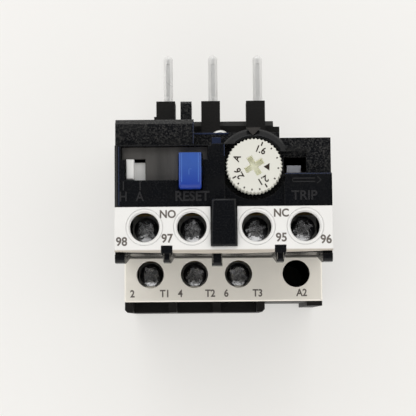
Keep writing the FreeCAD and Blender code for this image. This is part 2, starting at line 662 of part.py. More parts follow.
# --- power terminal block -----------------------------------------------------------------------
def terminal_block():
    """Three wire compartments open to the front and below, and the coil screw passage."""
    top = REAR_BOTTOM - SEAM
    left = block(LEFT + FIT, RIGHT_TERMINAL_LEFT, TERMINAL_BOTTOM, top, 0, TERMINAL_FRONT)
    right = block(RIGHT_TERMINAL_LEFT, TERMINAL_RIGHT, RIGHT_TERMINAL_BOTTOM, top, 0, TERMINAL_FRONT)
    foot = block(TERMINAL_RIGHT - FOOT_WIDTH, TERMINAL_RIGHT, RIGHT_TERMINAL_BOTTOM - FOOT_DROP,
                 RIGHT_TERMINAL_BOTTOM, 0, TERMINAL_FRONT)
    body = join([left, right, foot])
    corners = edges_between(body, (LEFT + FIT, TERMINAL_BOTTOM, 0),
                            (LEFT + FIT, TERMINAL_BOTTOM, TERMINAL_FRONT))
    corners += edges_between(body, (RIGHT_TERMINAL_LEFT, TERMINAL_BOTTOM, 0),
                             (RIGHT_TERMINAL_LEFT, TERMINAL_BOTTOM, TERMINAL_FRONT))
    body = body.makeChamfer(EDGE, corners)
    back = POWER_PLATE_FRONT - POWER_PLATE
    screw_end = back - POWER_SCREW_REACH - EDGE
    cuts = []
    for k, x in enumerate(POWER_X):
        low = POWER_RIBS[k] + POWER_RIB / 2
        high = POWER_RIBS[k + 1] - POWER_RIB / 2
        cuts.append(block(low, high, TERMINAL_BOTTOM, top, back, TERMINAL_FRONT))
        cuts.append(pillar(x, POWER_Y, screw_end, back, SCREW_SHANK + RUN))
        cuts.append(block(low + WALL, high - WALL, TERMINAL_BOTTOM + WALL, top - 2 * WALL, 2 * WALL,
                          screw_end - WALL))
    cuts.append(pillar(COIL_PASSAGE_X, POWER_Y, 0, TERMINAL_FRONT, ACCESS_HOLE))
    return body.cut(cuts).removeSplitter()


def power_terminal_cover():
    """Thin cream cover over the power terminals, with one screw hole a pole and one spare."""
    front = TERMINAL_FRONT + POWER_COVER
    top = REAR_BOTTOM - SEAM
    plate = block(LEFT + FIT, TERMINAL_RIGHT, POWER_COVER_BOTTOM, top, TERMINAL_FRONT, front)
    plate = plate.makeChamfer(EDGE / 2, edges_between(plate, (LEFT, POWER_COVER_BOTTOM, front),
                                                      (RIGHT, top, front)))
    holes = [pillar(x, POWER_Y, TERMINAL_FRONT, front, ACCESS_HOLE) for x in POWER_X + [COIL_PASSAGE_X]]
    plate = plate.cut(holes)
    half = POWER_COVER_TAB / 2
    low = POWER_Y - ACCESS_HOLE
    tabs = [block(x - half, x + half, low - EDGE, low + POWER_COVER_TAB_REACH, TERMINAL_FRONT,
                  TERMINAL_FRONT + POWER_COVER / 2) for x in POWER_X]
    return join([plate] + tabs)


# --- front half: control housing ----------------------------------------------------------------
def front_outline():
    return [
        (LEFT, FRONT_BOTTOM),
        (RIGHT, FRONT_BOTTOM),
        (RIGHT, RIGHT_BLOCK_TOP),
        (RIGHT_BLOCK_LEFT, RIGHT_BLOCK_TOP),
        (RIGHT_BLOCK_LEFT, MIDDLE_TOP),
        (LEFT_BLOCK_RIGHT, MIDDLE_TOP),
        (LEFT_BLOCK_RIGHT, LEFT_BLOCK_TOP),
        (LEFT, LEFT_BLOCK_TOP),
    ]


def dial_collar():
    """Sloping ring above the dial with a notch that points at the scale."""
    outer = COLLAR_INNER + COLLAR_WIDTH
    base = MIDDLE_FACE - WALL
    top = FRONT - COLLAR_RISE
    corners = [vec(DIAL_X + COLLAR_INNER, DIAL_Y, base), vec(DIAL_X + outer, DIAL_Y, base),
               vec(DIAL_X + outer, DIAL_Y, top - COLLAR_SLOPE), vec(DIAL_X + COLLAR_INNER, DIAL_Y, top)]
    profile = Part.Face(Part.makePolygon(corners + corners[:1]))
    ring = profile.revolve(vec(DIAL_X, DIAL_Y, 0), Z_AXIS, 180)
    tip = DIAL_Y + COLLAR_INNER + COLLAR_GAP
    notch = outline_xy([(DIAL_X, tip), (DIAL_X + NOTCH_HALF, tip + NOTCH_DEPTH),
                        (DIAL_X + NOTCH_HALF, tip + 2 * NOTCH_DEPTH), (DIAL_X - NOTCH_HALF,
                                                                       tip + 2 * NOTCH_DEPTH),
                        (DIAL_X - NOTCH_HALF, tip + NOTCH_DEPTH)], top - NOTCH_FLOOR, top + NOTCH_FLOOR)
    below_left = block(DIAL_X - outer, DIAL_X, DIAL_Y - 1, LEFT_BLOCK_BOTTOM, base, top)
    below_right = block(DIAL_X, DIAL_X + outer, DIAL_Y - 1, COLLAR_RIGHT_END, base, top)
    return ring.cut([notch, below_left, below_right])


def front_body():
    """Outer form: two upper blocks with the ledge between them, and the lower faces."""
    body = outline_xy(front_outline(), REAR_FRONT, BLOCK_FACE)
    body = body.cut(block(LEFT_BLOCK_RIGHT, RIGHT_BLOCK_LEFT, LEFT_BLOCK_BOTTOM, LEFT_BLOCK_TOP,
                          MIDDLE_FACE, FRONT))
    base = FRONT_INNER
    frame = block(LEFT, WINDOW_BAR_RIGHT, FRONT_BOTTOM, LOWER_LEFT_TOP, base, FRONT)
    frame = frame.makeChamfer(EDGE, edges_between(frame, (LEFT, FRONT_BOTTOM, FRONT),
                                                  (LEFT, LOWER_LEFT_TOP, FRONT)))
    bar = block(WINDOW_BAR_LEFT, WINDOW_BAR_RIGHT, FRONT_BOTTOM, LEFT_BLOCK_BOTTOM, base, FRONT)
    bar = bar.makeChamfer(WINDOW_BAR_CORNER, edges_between(
        bar, (WINDOW_BAR_LEFT, LEFT_BLOCK_BOTTOM, base), (WINDOW_BAR_LEFT, LEFT_BLOCK_BOTTOM, FRONT)))
    frame = frame.cut(block(WINDOW_BAR_LEFT, WINDOW_BAR_RIGHT, WINDOW_TOP, LEFT_BLOCK_BOTTOM, base, FRONT))
    lower_middle = block(WINDOW_BAR_RIGHT, LOWER_RIGHT_LEFT, FRONT_BOTTOM, DIAL_Y, base, FRONT - LOWER_STEP)
    lower_right = block(LOWER_RIGHT_LEFT, RIGHT, FRONT_BOTTOM, LOWER_RIGHT_TOP, base, FRONT)
    lower_right = lower_right.makeChamfer(EDGE / 2, edges_between(
        lower_right, (LOWER_RIGHT_LEFT, LOWER_RIGHT_TOP, FRONT), (RIGHT, LOWER_RIGHT_TOP, FRONT)))
    body = join([body, frame, bar, lower_middle, lower_right, dial_collar()])
    upper = edges_between(body, (LEFT, LEFT_BLOCK_TOP, BLOCK_FACE),
                          (LEFT_BLOCK_RIGHT, LEFT_BLOCK_TOP, BLOCK_FACE))
    return body.makeChamfer(LEFT_BLOCK_BEVEL, upper)


def latching_hook():
    """Hook on a low base that latches the relay to its contactor."""
    foot = LEFT_BLOCK_TOP - 1
    claw = HOOK_TOP - HOOK_CLAW_HEIGHT
    points = [
        (foot, HOOK_BACK),
        (foot, HOOK_FRONT),
        (HOOK_TOP - HOOK_CORNER, HOOK_FRONT),
        (HOOK_TOP, HOOK_FRONT - HOOK_CORNER),
        (HOOK_TOP - HOOK_CLAW_HEIGHT, HOOK_BACK - HOOK_CLAW),
        (claw - HOOK_CLAW_HEIGHT, HOOK_BACK - HOOK_CLAW),
        (claw - HOOK_CLAW_HEIGHT, HOOK_BACK),
    ]
    hook = outline_yz(points, HOOK_LEFT, HOOK_RIGHT)
    base = block(HOOK_LEFT - HOOK_BASE, HOOK_RIGHT + HOOK_BASE, foot, LEFT_BLOCK_TOP + HOOK_BASE, HOOK_BACK,
                 HOOK_FRONT + HOOK_BASE)
    return hook.fuse(base)


def front_tongue():
    """Raised tongue between the middle terminals, rounded along its sides."""
    face = FRONT + TONGUE_PROUD
    tongue = outline_xy([
        (TONGUE_X - TONGUE_WIDTH_BOTTOM / 2, TONGUE_BOTTOM), (TONGUE_X + TONGUE_WIDTH_BOTTOM / 2,
                                                              TONGUE_BOTTOM),
        (TONGUE_X + TONGUE_WIDTH_TOP / 2, TONGUE_TOP), (TONGUE_X - TONGUE_WIDTH_TOP / 2, TONGUE_TOP)],
        face - TONGUE_SHEET, face)
    return tongue.makeFillet(TONGUE_ROUND, edges_between(tongue, (LEFT, TONGUE_BOTTOM, face),
                                                         (RIGHT, TONGUE_TOP, face)))


def mechanism_room():
    """Room for contacts and levers behind the front wall, and the space under the wire pockets."""
    ceiling = CONTROL_WALL_TOP + CONTROL_FLOOR
    upper = outline_xy([
        (LEFT + WALL, ceiling), (RIGHT - WALL, ceiling), (RIGHT - WALL, RIGHT_BLOCK_TOP - WALL),
        (LEFT_BLOCK_RIGHT - WALL, RIGHT_BLOCK_TOP - WALL), (LEFT_BLOCK_RIGHT - WALL, LEFT_BLOCK_TOP - WALL),
        (LEFT + WALL, LEFT_BLOCK_TOP - WALL)], REAR_FRONT, FRONT_INNER)
    lower = block(LEFT + WALL, RIGHT - WALL, FRONT_BOTTOM + WALL, ceiling, REAR_FRONT,
                  CONTROL_PLATE_FRONT - CONTROL_PLATE - CONTROL_FLOOR)
    return [upper, lower]


def control_pocket(name, k):
    """Wire pocket open to the front, where the cover closes it, and below."""
    low = CONTROL_RIBS[k] + CONTROL_RIB / 2
    high = CONTROL_RIBS[k + 1] - CONTROL_RIB / 2
    if name in ("97", "95"):
        low = max(low, CONTROL_X[name] - CLAMP / 2 - POCKET_SIDE)
        high = min(high, CONTROL_X[name] + CLAMP / 2 + POCKET_SIDE)
    return block(low, high, FRONT_BOTTOM, CONTROL_WALL_TOP, CONTROL_PLATE_FRONT - CONTROL_PLATE, FRONT)


def strip_slot(name):
    """Slot that lets a control contact strip pass from its screw into the mechanism room."""
    x = strip_riser(name)
    half = STRIP_WIDTH / 2 + FIT
    return block(x - half, x + half, CONTROL_WALL_TOP - SEAM, CONTROL_WALL_TOP + CONTROL_FLOOR + SEAM,
                 CONTROL_PLATE_FRONT - CONTROL_PLATE - FIT, CONTROL_PLATE_FRONT + FIT)


def dial_well():
    """Round well of the dial, with the open corner between it, the bar and the collar."""
    well = pillar(DIAL_X, DIAL_Y, WELL_FLOOR, FRONT, WELL_RADIUS)
    corner = block(WINDOW_BAR_RIGHT, DIAL_X, DIAL_Y, LEFT_BLOCK_BOTTOM, WELL_FLOOR, FRONT)
    side = block(DIAL_X, FLAG_WINDOW_RIGHT - WALL, DIAL_Y, COLLAR_RIGHT_END, WELL_FLOOR, FRONT)
    well = well.fuse([corner, side])
    bar = block(LEFT, WINDOW_BAR_RIGHT, FRONT_BOTTOM, LEFT_BLOCK_TOP, WELL_FLOOR, FRONT)
    ring = pillar(DIAL_X, DIAL_Y, WELL_FLOOR, FRONT, COLLAR_INNER + COLLAR_WIDTH)
    ring = ring.cut(pillar(DIAL_X, DIAL_Y, WELL_FLOOR, FRONT, COLLAR_INNER))
    left_end = block(LEFT, DIAL_X, LEFT_BLOCK_BOTTOM, LEFT_BLOCK_TOP, WELL_FLOOR, FRONT)
    right_end = block(DIAL_X, RIGHT, COLLAR_RIGHT_END, LEFT_BLOCK_TOP, WELL_FLOOR, FRONT)
    kept = ring.common(left_end.fuse(right_end))
    return well.cut([bar, kept])


def window_outline(inset, z0, z1):
    """T-shaped window of the selector and the button."""
    return outline_xy([
        (WINDOW_LEFT + inset, WINDOW_SHOULDER + inset), (WINDOW_LOWER_LEFT + inset,
                                                         WINDOW_SHOULDER + inset),
        (WINDOW_LOWER_LEFT + inset, WINDOW_BOTTOM + inset), (WINDOW_LOWER_RIGHT - inset,
                                                             WINDOW_BOTTOM + inset),
        (WINDOW_LOWER_RIGHT - inset, WINDOW_SHOULDER + inset), (WINDOW_RIGHT - inset,
                                                                WINDOW_SHOULDER + inset),
        (WINDOW_RIGHT - inset, WINDOW_TOP - inset), (WINDOW_LEFT + inset, WINDOW_TOP - inset)], z0, z1)


def flag_window():
    """Window of the trip flag with a sloped facet above it."""
    window = block(FLAG_WINDOW_LEFT, FLAG_WINDOW_RIGHT, FLAG_WINDOW_BOTTOM, FLAG_WINDOW_TOP, FRONT_INNER,
                   FRONT)
    facet = outline_yz([(FLAG_WINDOW_TOP - FIT, FRONT_INNER), (FLAG_FACET_TOP, BLOCK_FACE),
                        (FLAG_FACET_TOP, FRONT),
                        (FLAG_WINDOW_TOP - FIT, FRONT)], DIAL_X + COLLAR_INNER + COLLAR_WIDTH - WALL,
                       FLAG_WINDOW_RIGHT + FIT)
    return window.fuse(facet)


def screw_notch():
    """Notch behind the ledge for the front screw and its post."""
    half = FRONT_SCREW_HEAD + RUN
    return block(FRONT_SCREW_X - half, FRONT_SCREW_X + half, RIGHT_BLOCK_TOP - WALL, MIDDLE_TOP, REAR_FRONT,
                 FRONT_SCREW_SEAT + FRONT_SCREW_HEAD_HEIGHT + 2 * RUN)


def sleeve_notch(x):
    """Notch in the front housing's back edge for one sleeve of the rear housing."""
    middle = x + SLEEVE_SHIFT
    half = SLEEVE / 2 + FIT
    return block(middle - half, middle + half, SLEEVE_INNER - FIT, LEFT_BLOCK_TOP + 1, REAR_FRONT,
                 SLEEVE_FRONT + FIT)


def shoulder_notch():
    right = PIN_X[0] + SLEEVE_SHIFT - SLEEVE / 2
    return block(right - SHOULDER_WIDTH - FIT, right, SLEEVE_INNER - FIT, LEFT_BLOCK_TOP + 1, REAR_FRONT,
                 PIN_AXIS + FIT)


def cam_reach():
    """Largest radius of the spiral cam."""
    return CAM_RADIUS + CAM_LIFT * (DIAL_TURN + CAM_SPARE) / DIAL_TURN


def control_rib(k):
    """Barrier rib between two control terminals, rounded at its lower front end."""
    x = CONTROL_RIBS[k]
    middle = len(CONTROL_RIBS) // 2
    reach = FRONT_BOTTOM - RIB_REACH - (RIB_FALL if k == middle else 0)
    front = FRONT - CONTROL_RIB_SETBACK
    low = max(LEFT, x - CONTROL_RIB / 2)
    high = min(RIGHT, x + CONTROL_RIB / 2)
    rib = block(low, high, reach, FRONT_BOTTOM, REAR_FRONT, front)
    rib = rib.makeFillet(RIB_ROUND, edges_between(rib, (low, reach, front), (high, reach, front)))
    if k in (1, 3):
        lug = block(low, high, FRONT_BOTTOM - EDGE, RIB_LUG, front - RIB_ROUND, CONTROL_COVER_FRONT - FIT)
        return rib.fuse(lug)
    edge = block(low, high, CONTROL_COVER_MIDDLE - FIT, FRONT_BOTTOM, CONTROL_COVER_SEAT,
                 CONTROL_COVER_FRONT)
    return rib.cut(edge)


def trip_ears():
    """Two ears under the front wall that hold the trip lever's pin."""
    half = EAR_WIDTH / 2
    low = CARRIER_Y - TRIP_BARREL_HALF - FIT - EAR
    high = CARRIER_Y + TRIP_BARREL_HALF + FIT
    return [block(TRIP_PIVOT_X - half, TRIP_PIVOT_X + half, y, y + EAR, TRIP_PIVOT_Z - EAR_BELOW,
                  FRONT_INNER)
            for y in (low, high)]


def carrier_guides():
    """Two walls across the mechanism room with a window for the contact carrier."""
    top = CARRIER_Y + CARRIER_HALF + WALL
    return [block(x, x + CONTROL_FLOOR, CONTROL_WALL_TOP + CONTROL_FLOOR - FIT, top, REAR_FRONT,
                  CARRIER_FRONT + WALL)
            for x in (WINDOW_BAR_LEFT - EDGE, WINDOW_BAR_LEFT + CLAMP - EDGE)]


def carrier_room():
    return block(WINDOW_BAR_LEFT - WALL, WINDOW_BAR_LEFT + CLAMP + WALL, CARRIER_Y - CARRIER_HALF - RUN,
                 CARRIER_Y + CARRIER_HALF + RUN, CARRIER_BACK - RUN, CARRIER_FRONT + RUN)


def slide_guides():
    """Rails that hold the setting slide from both sides, from behind and from the front."""
    rails = []
    lip = 0.9
    hold = SLIDE_HALF + RUN
    end = FULCRUM_X + SLIDE_TAIL
    reach = RIGHT - WALL
    back = CAM_FRONT - SLIDE_PLATE - RUN
    bracket = end + CAM_LIFT - lip - FIT
    for side in (-1, 1):
        y = DIAL_Y + side * hold
        low, high = sorted((y, y + side * lip))
        rails.append(block(FULCRUM_X - CAM_LIFT - lip, bracket, low, high, FULCRUM_Z - EAR_HALF,
                           CAM_FRONT + RUN))
        rails.append(block(bracket - FIT, reach, low, high, REAR_FRONT, CAM_FRONT + RUN + lip))
        low, high = sorted((y - side * lip, y + side * lip))
        rails.append(block(end - lip, reach, low, high, REAR_FRONT, back))
        rails.append(block(end - 2 * lip, reach, low, high, CAM_FRONT + RUN, CAM_FRONT + RUN + lip))
    return rails


def spring_post():
    """Post on a cross web that the reset spring stands on."""
    web = block(LEFT + WALL, WINDOW_BAR_LEFT, BUTTON_Y - WEB_HALF, BUTTON_Y + WEB_HALF, REAR_FRONT,
                SPRING_BACK)
    return web.fuse(pillar(BUTTON_X, BUTTON_Y, REAR_FRONT, SPRING_BACK + SPRING_POST,
                           SPRING_RADIUS - SPRING_WIRE - FIT))


def locating_ribs():
    """Ribs in the left corners of the mechanism room."""
    thick = CONTROL_FLOOR
    return [block(LEFT + WALL - FIT, LEFT + WALL + thick, y, y + thick, REAR_FRONT, FRONT_INNER)
            for y in (CONTROL_WALL_TOP + 2 * thick, LEFT_BLOCK_TOP - WALL - 2 * thick)]


def front_housing():
    """Bluish black moulding with windows, dial well and wire pockets to the front, guides inside."""
    body = join([front_body(), latching_hook()])
    cuts = mechanism_room()
    cuts.append(block(LEFT, RIGHT, FRONT_BOTTOM, CONTROL_COVER_TOP, CONTROL_COVER_SEAT,
                      CONTROL_COVER_FRONT))
    for k, name in enumerate(CONTROL_X):
        cuts.append(control_pocket(name, k))
        cuts.append(pillar(CONTROL_X[name], CONTROL_Y, REAR_FRONT, FRONT, SCREW_SHANK + RUN))
        cuts.append(strip_slot(name))
    cuts.append(dial_well())
    cuts.append(pillar(DIAL_X, DIAL_Y, REAR_FRONT, FRONT, SHAFT_RADIUS + FIT))
    cuts.append(window_outline(0, FRONT_INNER, FRONT))
    half = BUTTON_WIDTH / 2 + RUN
    cuts.append(block(BUTTON_X - half, BUTTON_X + half, BUTTON_Y - BUTTON_HEIGHT / 2 - RUN, BUTTON_Y,
                      FRONT_INNER, FRONT))
    cuts.append(flag_window())
    body = body.cut(cuts)
    ribs = [control_rib(k) for k in range(len(CONTROL_RIBS))]
    inside = trip_ears() + carrier_guides() + slide_guides() + [spring_post()] + locating_ribs()
    body = join([body, front_tongue()] + ribs + inside)
    pin_hole = rod_y(TRIP_PIVOT_X, TRIP_PIVOT_Z, CARRIER_Y - CLAMP / 2, CARRIER_Y + CLAMP / 2,
                     FULCRUM_RADIUS + PIN_FIT)
    cam_room = pillar(DIAL_X, DIAL_Y, CAM_FRONT - CAM_HEIGHT - RUN, CAM_FRONT + RUN, cam_reach() + RUN)
    body = body.cut([pin_hole, cam_room, carrier_room(), screw_notch(), shoulder_notch()]
                    + [sleeve_notch(x) for x in PIN_X])
    return body.removeSplitter()


def front_screw():
    """Pan head screw in the rear housing's post; its head shows above the ledge."""
    seat = FRONT_SCREW_SEAT
    top = seat + FRONT_SCREW_HEAD_HEIGHT
    head = pillar(FRONT_SCREW_X, FRONT_SCREW_Y, seat, top, FRONT_SCREW_HEAD)
    head = head.makeFillet(HEAD_CROWN, [e for e in head.Edges if e.BoundBox.ZMin > top - 1e-4])
    shank = pillar(FRONT_SCREW_X, FRONT_SCREW_Y, REAR_FRONT - FRONT_SCREW_DEPTH + FIT, seat + EDGE,
                   CASE_SCREW - SEAM)
    return head.fuse(shank).removeSplitter()


def control_terminal_cover():
    """White cover over the control terminals, deeper in the middle than at its ends."""
    front = CONTROL_COVER_FRONT
    back = CONTROL_COVER_SEAT
    flat = CONTROL_COVER_FLAT
    plate = outline_xy([(LEFT, CONTROL_COVER_ENDS), (TONGUE_X - flat, CONTROL_COVER_MIDDLE),
                        (TONGUE_X + flat, CONTROL_COVER_MIDDLE), (RIGHT, CONTROL_COVER_ENDS),
                        (RIGHT, CONTROL_COVER_TOP - FIT), (LEFT, CONTROL_COVER_TOP - FIT)], back, front)
    plate = plate.makeFillet(CONTROL_COVER_ROUND, edges_between(
        plate, (LEFT, CONTROL_COVER_MIDDLE, front), (RIGHT, CONTROL_COVER_ENDS, front)))
    cuts = []
    for x in CONTROL_X.values():
        cuts.append(pillar(x, CONTROL_Y, back, front, CONTROL_HOLE))
        cuts.append(Part.makeCone(CONTROL_HOLE, CONTROL_HOLE_RING, EDGE / 2,
                                  vec(x, CONTROL_Y, front - EDGE / 2), Z_AXIS))
    half = CONTROL_RIB / 2 + FIT
    cuts += [block(CONTROL_RIBS[k] - half, CONTROL_RIBS[k] + half, CONTROL_COVER_MIDDLE, RIB_LUG + FIT,
                   back, front)
             for k in (1, 3)]
    wide = TONGUE_WIDTH_BOTTOM / 2 + FIT
    cuts.append(block(TONGUE_X - wide, TONGUE_X + wide, TONGUE_BOTTOM - FIT, CONTROL_COVER_TOP, back,
                      front))
    return plate.cut(cuts).removeSplitter()


def guide_plate():
    """Dark plate in the window, cut out for the selector and the reset button."""
    front = FRONT - PLATE_SETBACK
    back = front - PLATE_SHEET
    plate = window_outline(FIT, back, front)
    half = BUTTON_WIDTH / 2 + RUN
    plate = plate.cut([
        block(BUTTON_X - half, BUTTON_X + half, WINDOW_BOTTOM, BUTTON_Y + BUTTON_HEIGHT / 2 + RUN, back,
              front),
        block(WINDOW_LOWER_LEFT, SELECTOR_RIGHT, WINDOW_BOTTOM, RIDGE_TOP + FIT, back, front)])
    inner = BUTTON_X - BUTTON_WIDTH / 2 - BUTTON_FLANGE - RUN - PLATE_LEG
    high = WINDOW_TOP - FIT - PLATE_LEG
    places = [(WINDOW_LEFT + FIT, high), (inner, high), (inner, WINDOW_BOTTOM + FIT)]
    legs = [block(x, x + PLATE_LEG, y, y + PLATE_LEG, back - PLATE_LEG_LENGTH, back) for x, y in places]
    return join([plate] + legs)


def mode_selector():
    """Manual or automatic reset selector: a ridge to push and a flat slide under the plate."""
    front = FRONT - PLATE_SETBACK - PLATE_SHEET - SELECTOR_GAP
    back = front - SELECTOR_SHEET
    left = WINDOW_LOWER_LEFT + RUN
    slide = block(left, SELECTOR_RIGHT + SELECTOR_TAIL, WINDOW_BOTTOM + FIT, SELECTOR_TOP, back, front)
    ridge_front = FRONT - PLATE_SETBACK + RIDGE_PROUD
    right = left + RIDGE_WIDTH
    ridge = block(left, right, RIDGE_BOTTOM, RIDGE_TOP, back, ridge_front)
    ridge = ridge.makeChamfer(RIDGE_BEVEL, edges_between(
        ridge, (left, RIDGE_BOTTOM, ridge_front), (right, RIDGE_TOP, ridge_front)))
    return slide.fuse(ridge).removeSplitter()


def reset_button():
    """Blue cap on a stem, with a flange under the guide plate and a spring socket."""
    left = BUTTON_X - BUTTON_WIDTH / 2
    right = BUTTON_X + BUTTON_WIDTH / 2
    low = BUTTON_Y - BUTTON_HEIGHT / 2
    high = BUTTON_Y + BUTTON_HEIGHT / 2
    cap = block(left, right, low, high, BUTTON_BACK, BUTTON_FACE)
    cap = cap.makeFillet(BUTTON_ROUND, edges_between(cap, (left, low, BUTTON_FACE),
                                                     (right, low, BUTTON_FACE)))
    upright = [e for e in edges_between(cap, (left, low, BUTTON_FACE), (right, high, BUTTON_FACE))
               if e.Length > BUTTON_ROUND * 2]
    cap = cap.makeChamfer(BUTTON_BEVEL, [e for e in upright if e.BoundBox.XLength < FIT])
    top = FRONT_INNER - FIT
    flange = block(left - BUTTON_FLANGE, right + BUTTON_FLANGE, BUTTON_Y - FLANGE_HALF,
                   BUTTON_Y + FLANGE_HALF,
                   top - FLANGE_SHEET, top)
    stem = block(BUTTON_X - BUTTON_STEM + RUN, BUTTON_X + BUTTON_STEM - RUN, BUTTON_Y - STEM_BELOW,
                 BUTTON_Y + BUTTON_STEM,
                 STEM_BACK, BUTTON_BACK)
    socket = pillar(BUTTON_X, BUTTON_Y, STEM_BACK, STEM_BACK + EDGE, SPRING_RADIUS - SPRING_WIRE)
    return join([cap, flange, stem]).cut(socket)


def coil_spring(x, y, z0, z1, radius, wire, turns):
    """Compression spring: thin wire swept along a helix, with flats round the wire."""
    flats = 5
    start = z0 + wire / 2
    height = z1 - z0 - wire
    helix = Part.makeHelix(height / turns, height, radius)
    helix.translate(vec(x, y, start))
    centre = vec(x + radius, y, start)
    corners = []
    for k in range(flats + 1):
        angle = math.radians(360 * k / flats)
        corners.append(centre + vec(wire / 2 * math.cos(angle), 0, wire / 2 * math.sin(angle)))
    return Part.Wire(helix).makePipeShell([Part.makePolygon(corners)], True, True)


def reset_spring():
    return coil_spring(BUTTON_X, BUTTON_Y, SPRING_BACK, STEM_BACK, SPRING_RADIUS, SPRING_WIRE, SPRING_TURNS)


# --- dial, slide, levers -------------------------------------------------------------------------
def tooth_wire(radius, z):
    """Knurled outline of the dial at one height."""
    corners = []
    for k in range(2 * DIAL_TEETH):
        r = radius - (DIAL_TOOTH if k % 2 else 0)
        angle = math.pi * k / DIAL_TEETH
        corners.append(vec(DIAL_X + r * math.cos(angle), DIAL_Y + r * math.sin(angle), z))
    return Part.makePolygon(corners + corners[:1])


def setting_dial():
    """Knurled dial, cross recess, shaft and spiral cam in one moulding."""
    bevel = DIAL_FACE - DIAL_BEVEL
    rim = Part.Face(tooth_wire(DIAL_RADIUS, DIAL_BACK)).extrude(vec(0, 0, bevel - DIAL_BACK))
    crown = Part.makeLoft([tooth_wire(DIAL_RADIUS, bevel),
                           tooth_wire(DIAL_RADIUS - DIAL_BEVEL_IN, DIAL_FACE)], True, True)
    arm = DIAL_RECESS_ARM
    half = DIAL_RECESS_WIDTH / 2
    bottom = DIAL_FACE - DIAL_RECESS_DEPTH
    cross = block(DIAL_X - arm, DIAL_X + arm, DIAL_Y - half, DIAL_Y + half, bottom, DIAL_FACE)
    cross = cross.fuse(block(DIAL_X - half, DIAL_X + half, DIAL_Y - arm, DIAL_Y + arm, bottom, DIAL_FACE))
    cross.rotate(vec(DIAL_X, DIAL_Y, 0), Z_AXIS, DIAL_RECESS_ANGLE)
    shaft = pillar(DIAL_X, DIAL_Y, CAM_FRONT, DIAL_BACK + EDGE, SHAFT_RADIUS)
    pivot = pillar(DIAL_X, DIAL_Y, REAR_FRONT + 2 * FIT, CAM_FRONT, PIVOT_RADIUS)
    return rim.fuse([crown, shaft, pivot, spiral_cam()]).removeSplitter().cut(cross)


def spiral_cam():
    """Archimedean spiral edge: each degree of turn pushes the setting slide the same amount."""
    total = math.radians(DIAL_TURN + 2 * CAM_SPARE)
    lift = CAM_LIFT / math.radians(DIAL_TURN)
    spare = math.radians(CAM_SPARE)
    points = []
    for k in range(CAM_POINTS + 1):
        turn = total * k / CAM_POINTS - spare
        radius = CAM_RADIUS + lift * turn
        points.append(vec(DIAL_X + radius * math.cos(-turn), DIAL_Y + radius * math.sin(-turn),
                          CAM_FRONT - CAM_HEIGHT))
    curve = Part.BSplineCurve()
    curve.interpolate(points)
    closing = Part.LineSegment(points[-1], points[0])
    wire = Part.Wire([curve.toShape(), closing.toShape()])
    return Part.Face(wire).extrude(vec(0, 0, CAM_HEIGHT))


def setting_slide():
    """Slide that the cam pushes; its two ears carry the fulcrum pin of the lever."""
    back = CAM_FRONT - SLIDE_PLATE
    nose = DIAL_X + CAM_RADIUS + SLIDE_GAP + SLIDE_NOSE
    inner = FULCRUM_X - EAR_HALF - SLIDE_NOSE
    plate = block(inner, FULCRUM_X + SLIDE_TAIL, DIAL_Y - SLIDE_HALF, DIAL_Y + SLIDE_HALF, back, CAM_FRONT)
    finger = block(nose, inner, DIAL_Y - SLIDE_NOSE, DIAL_Y + SLIDE_NOSE, back, CAM_FRONT)
    tip = pillar(nose, DIAL_Y, back, CAM_FRONT, SLIDE_NOSE)
    ears = [block(FULCRUM_X - EAR_HALF, FULCRUM_X + EAR_HALF, y, y + SLIDE_EAR, FULCRUM_Z - EAR_HALF, back)
            for y in (DIAL_Y - SLIDE_HALF, DIAL_Y + SLIDE_HALF - SLIDE_EAR)]
    slide = join([plate, finger, tip] + ears)
    return slide.cut(rod_y(FULCRUM_X, FULCRUM_Z, DIAL_Y - SLIDE_HALF, DIAL_Y + SLIDE_HALF,
                           FULCRUM_RADIUS + PIN_FIT))


def fulcrum_pin():
    return rod_y(FULCRUM_X, FULCRUM_Z, DIAL_Y - SLIDE_HALF, DIAL_Y + SLIDE_HALF, FULCRUM_RADIUS)


def compensating_lever():
    """Flat lever on the fulcrum pin: one arm down to the slide bars, one up to the trip lever."""
    left = FULCRUM_X - LEVER_SHEET / 2
    right = FULCRUM_X + LEVER_SHEET / 2
    inner = SLIDE_HALF - SLIDE_EAR - FIT
    barrel = rod_y(FULCRUM_X, FULCRUM_Z, DIAL_Y - inner, DIAL_Y + inner, FULCRUM_BARREL)
    low = FULCRUM_Z - FULCRUM_BARREL - LEVER_DROP
    nose = CARRIER_FRONT + WALL
    web = block(left, right, BAR_BOTTOM, DIAL_Y + inner, low, low + LEVER_DROP - FIT)
    neck = block(left, right, DIAL_Y - inner, DIAL_Y + inner, low, FULCRUM_Z)
    arm = block(left, right, CARRIER_Y - LEVER_HALF, CARRIER_Y + LEVER_HALF, low, nose)
    finger = block(TRIP_FOOT_X + TRIP_ARM / 2 + CONTACT_TIP_HEIGHT, right, CARRIER_Y - LEVER_HALF,
                   CARRIER_Y + LEVER_HALF,
                   nose - STRIP_WELD, nose)
    foot = block(left, right, BAR_BOTTOM, BAR_TOP, low - LEVER_DROP - STRIP_WELD, low + STRIP_WELD)
    lever = join([barrel, web, neck, arm, finger, foot])
    return lever.cut(rod_y(FULCRUM_X, FULCRUM_Z, DIAL_Y - inner, DIAL_Y + inner, FULCRUM_RADIUS + PIN_RUN))


def compensating_bimetal():
    """Bimetal strip that lengthens the lever down to the slide bars."""
    right = FULCRUM_X - LEVER_SHEET / 2
    low = BIMETAL_AXIS - BAR - BAR_GAP
    top = FULCRUM_Z - FULCRUM_BARREL - LEVER_DROP + STRIP_WELD
    return block(right - STRIP_SHEET, right, BAR_BOTTOM, BAR_TOP, low, top)


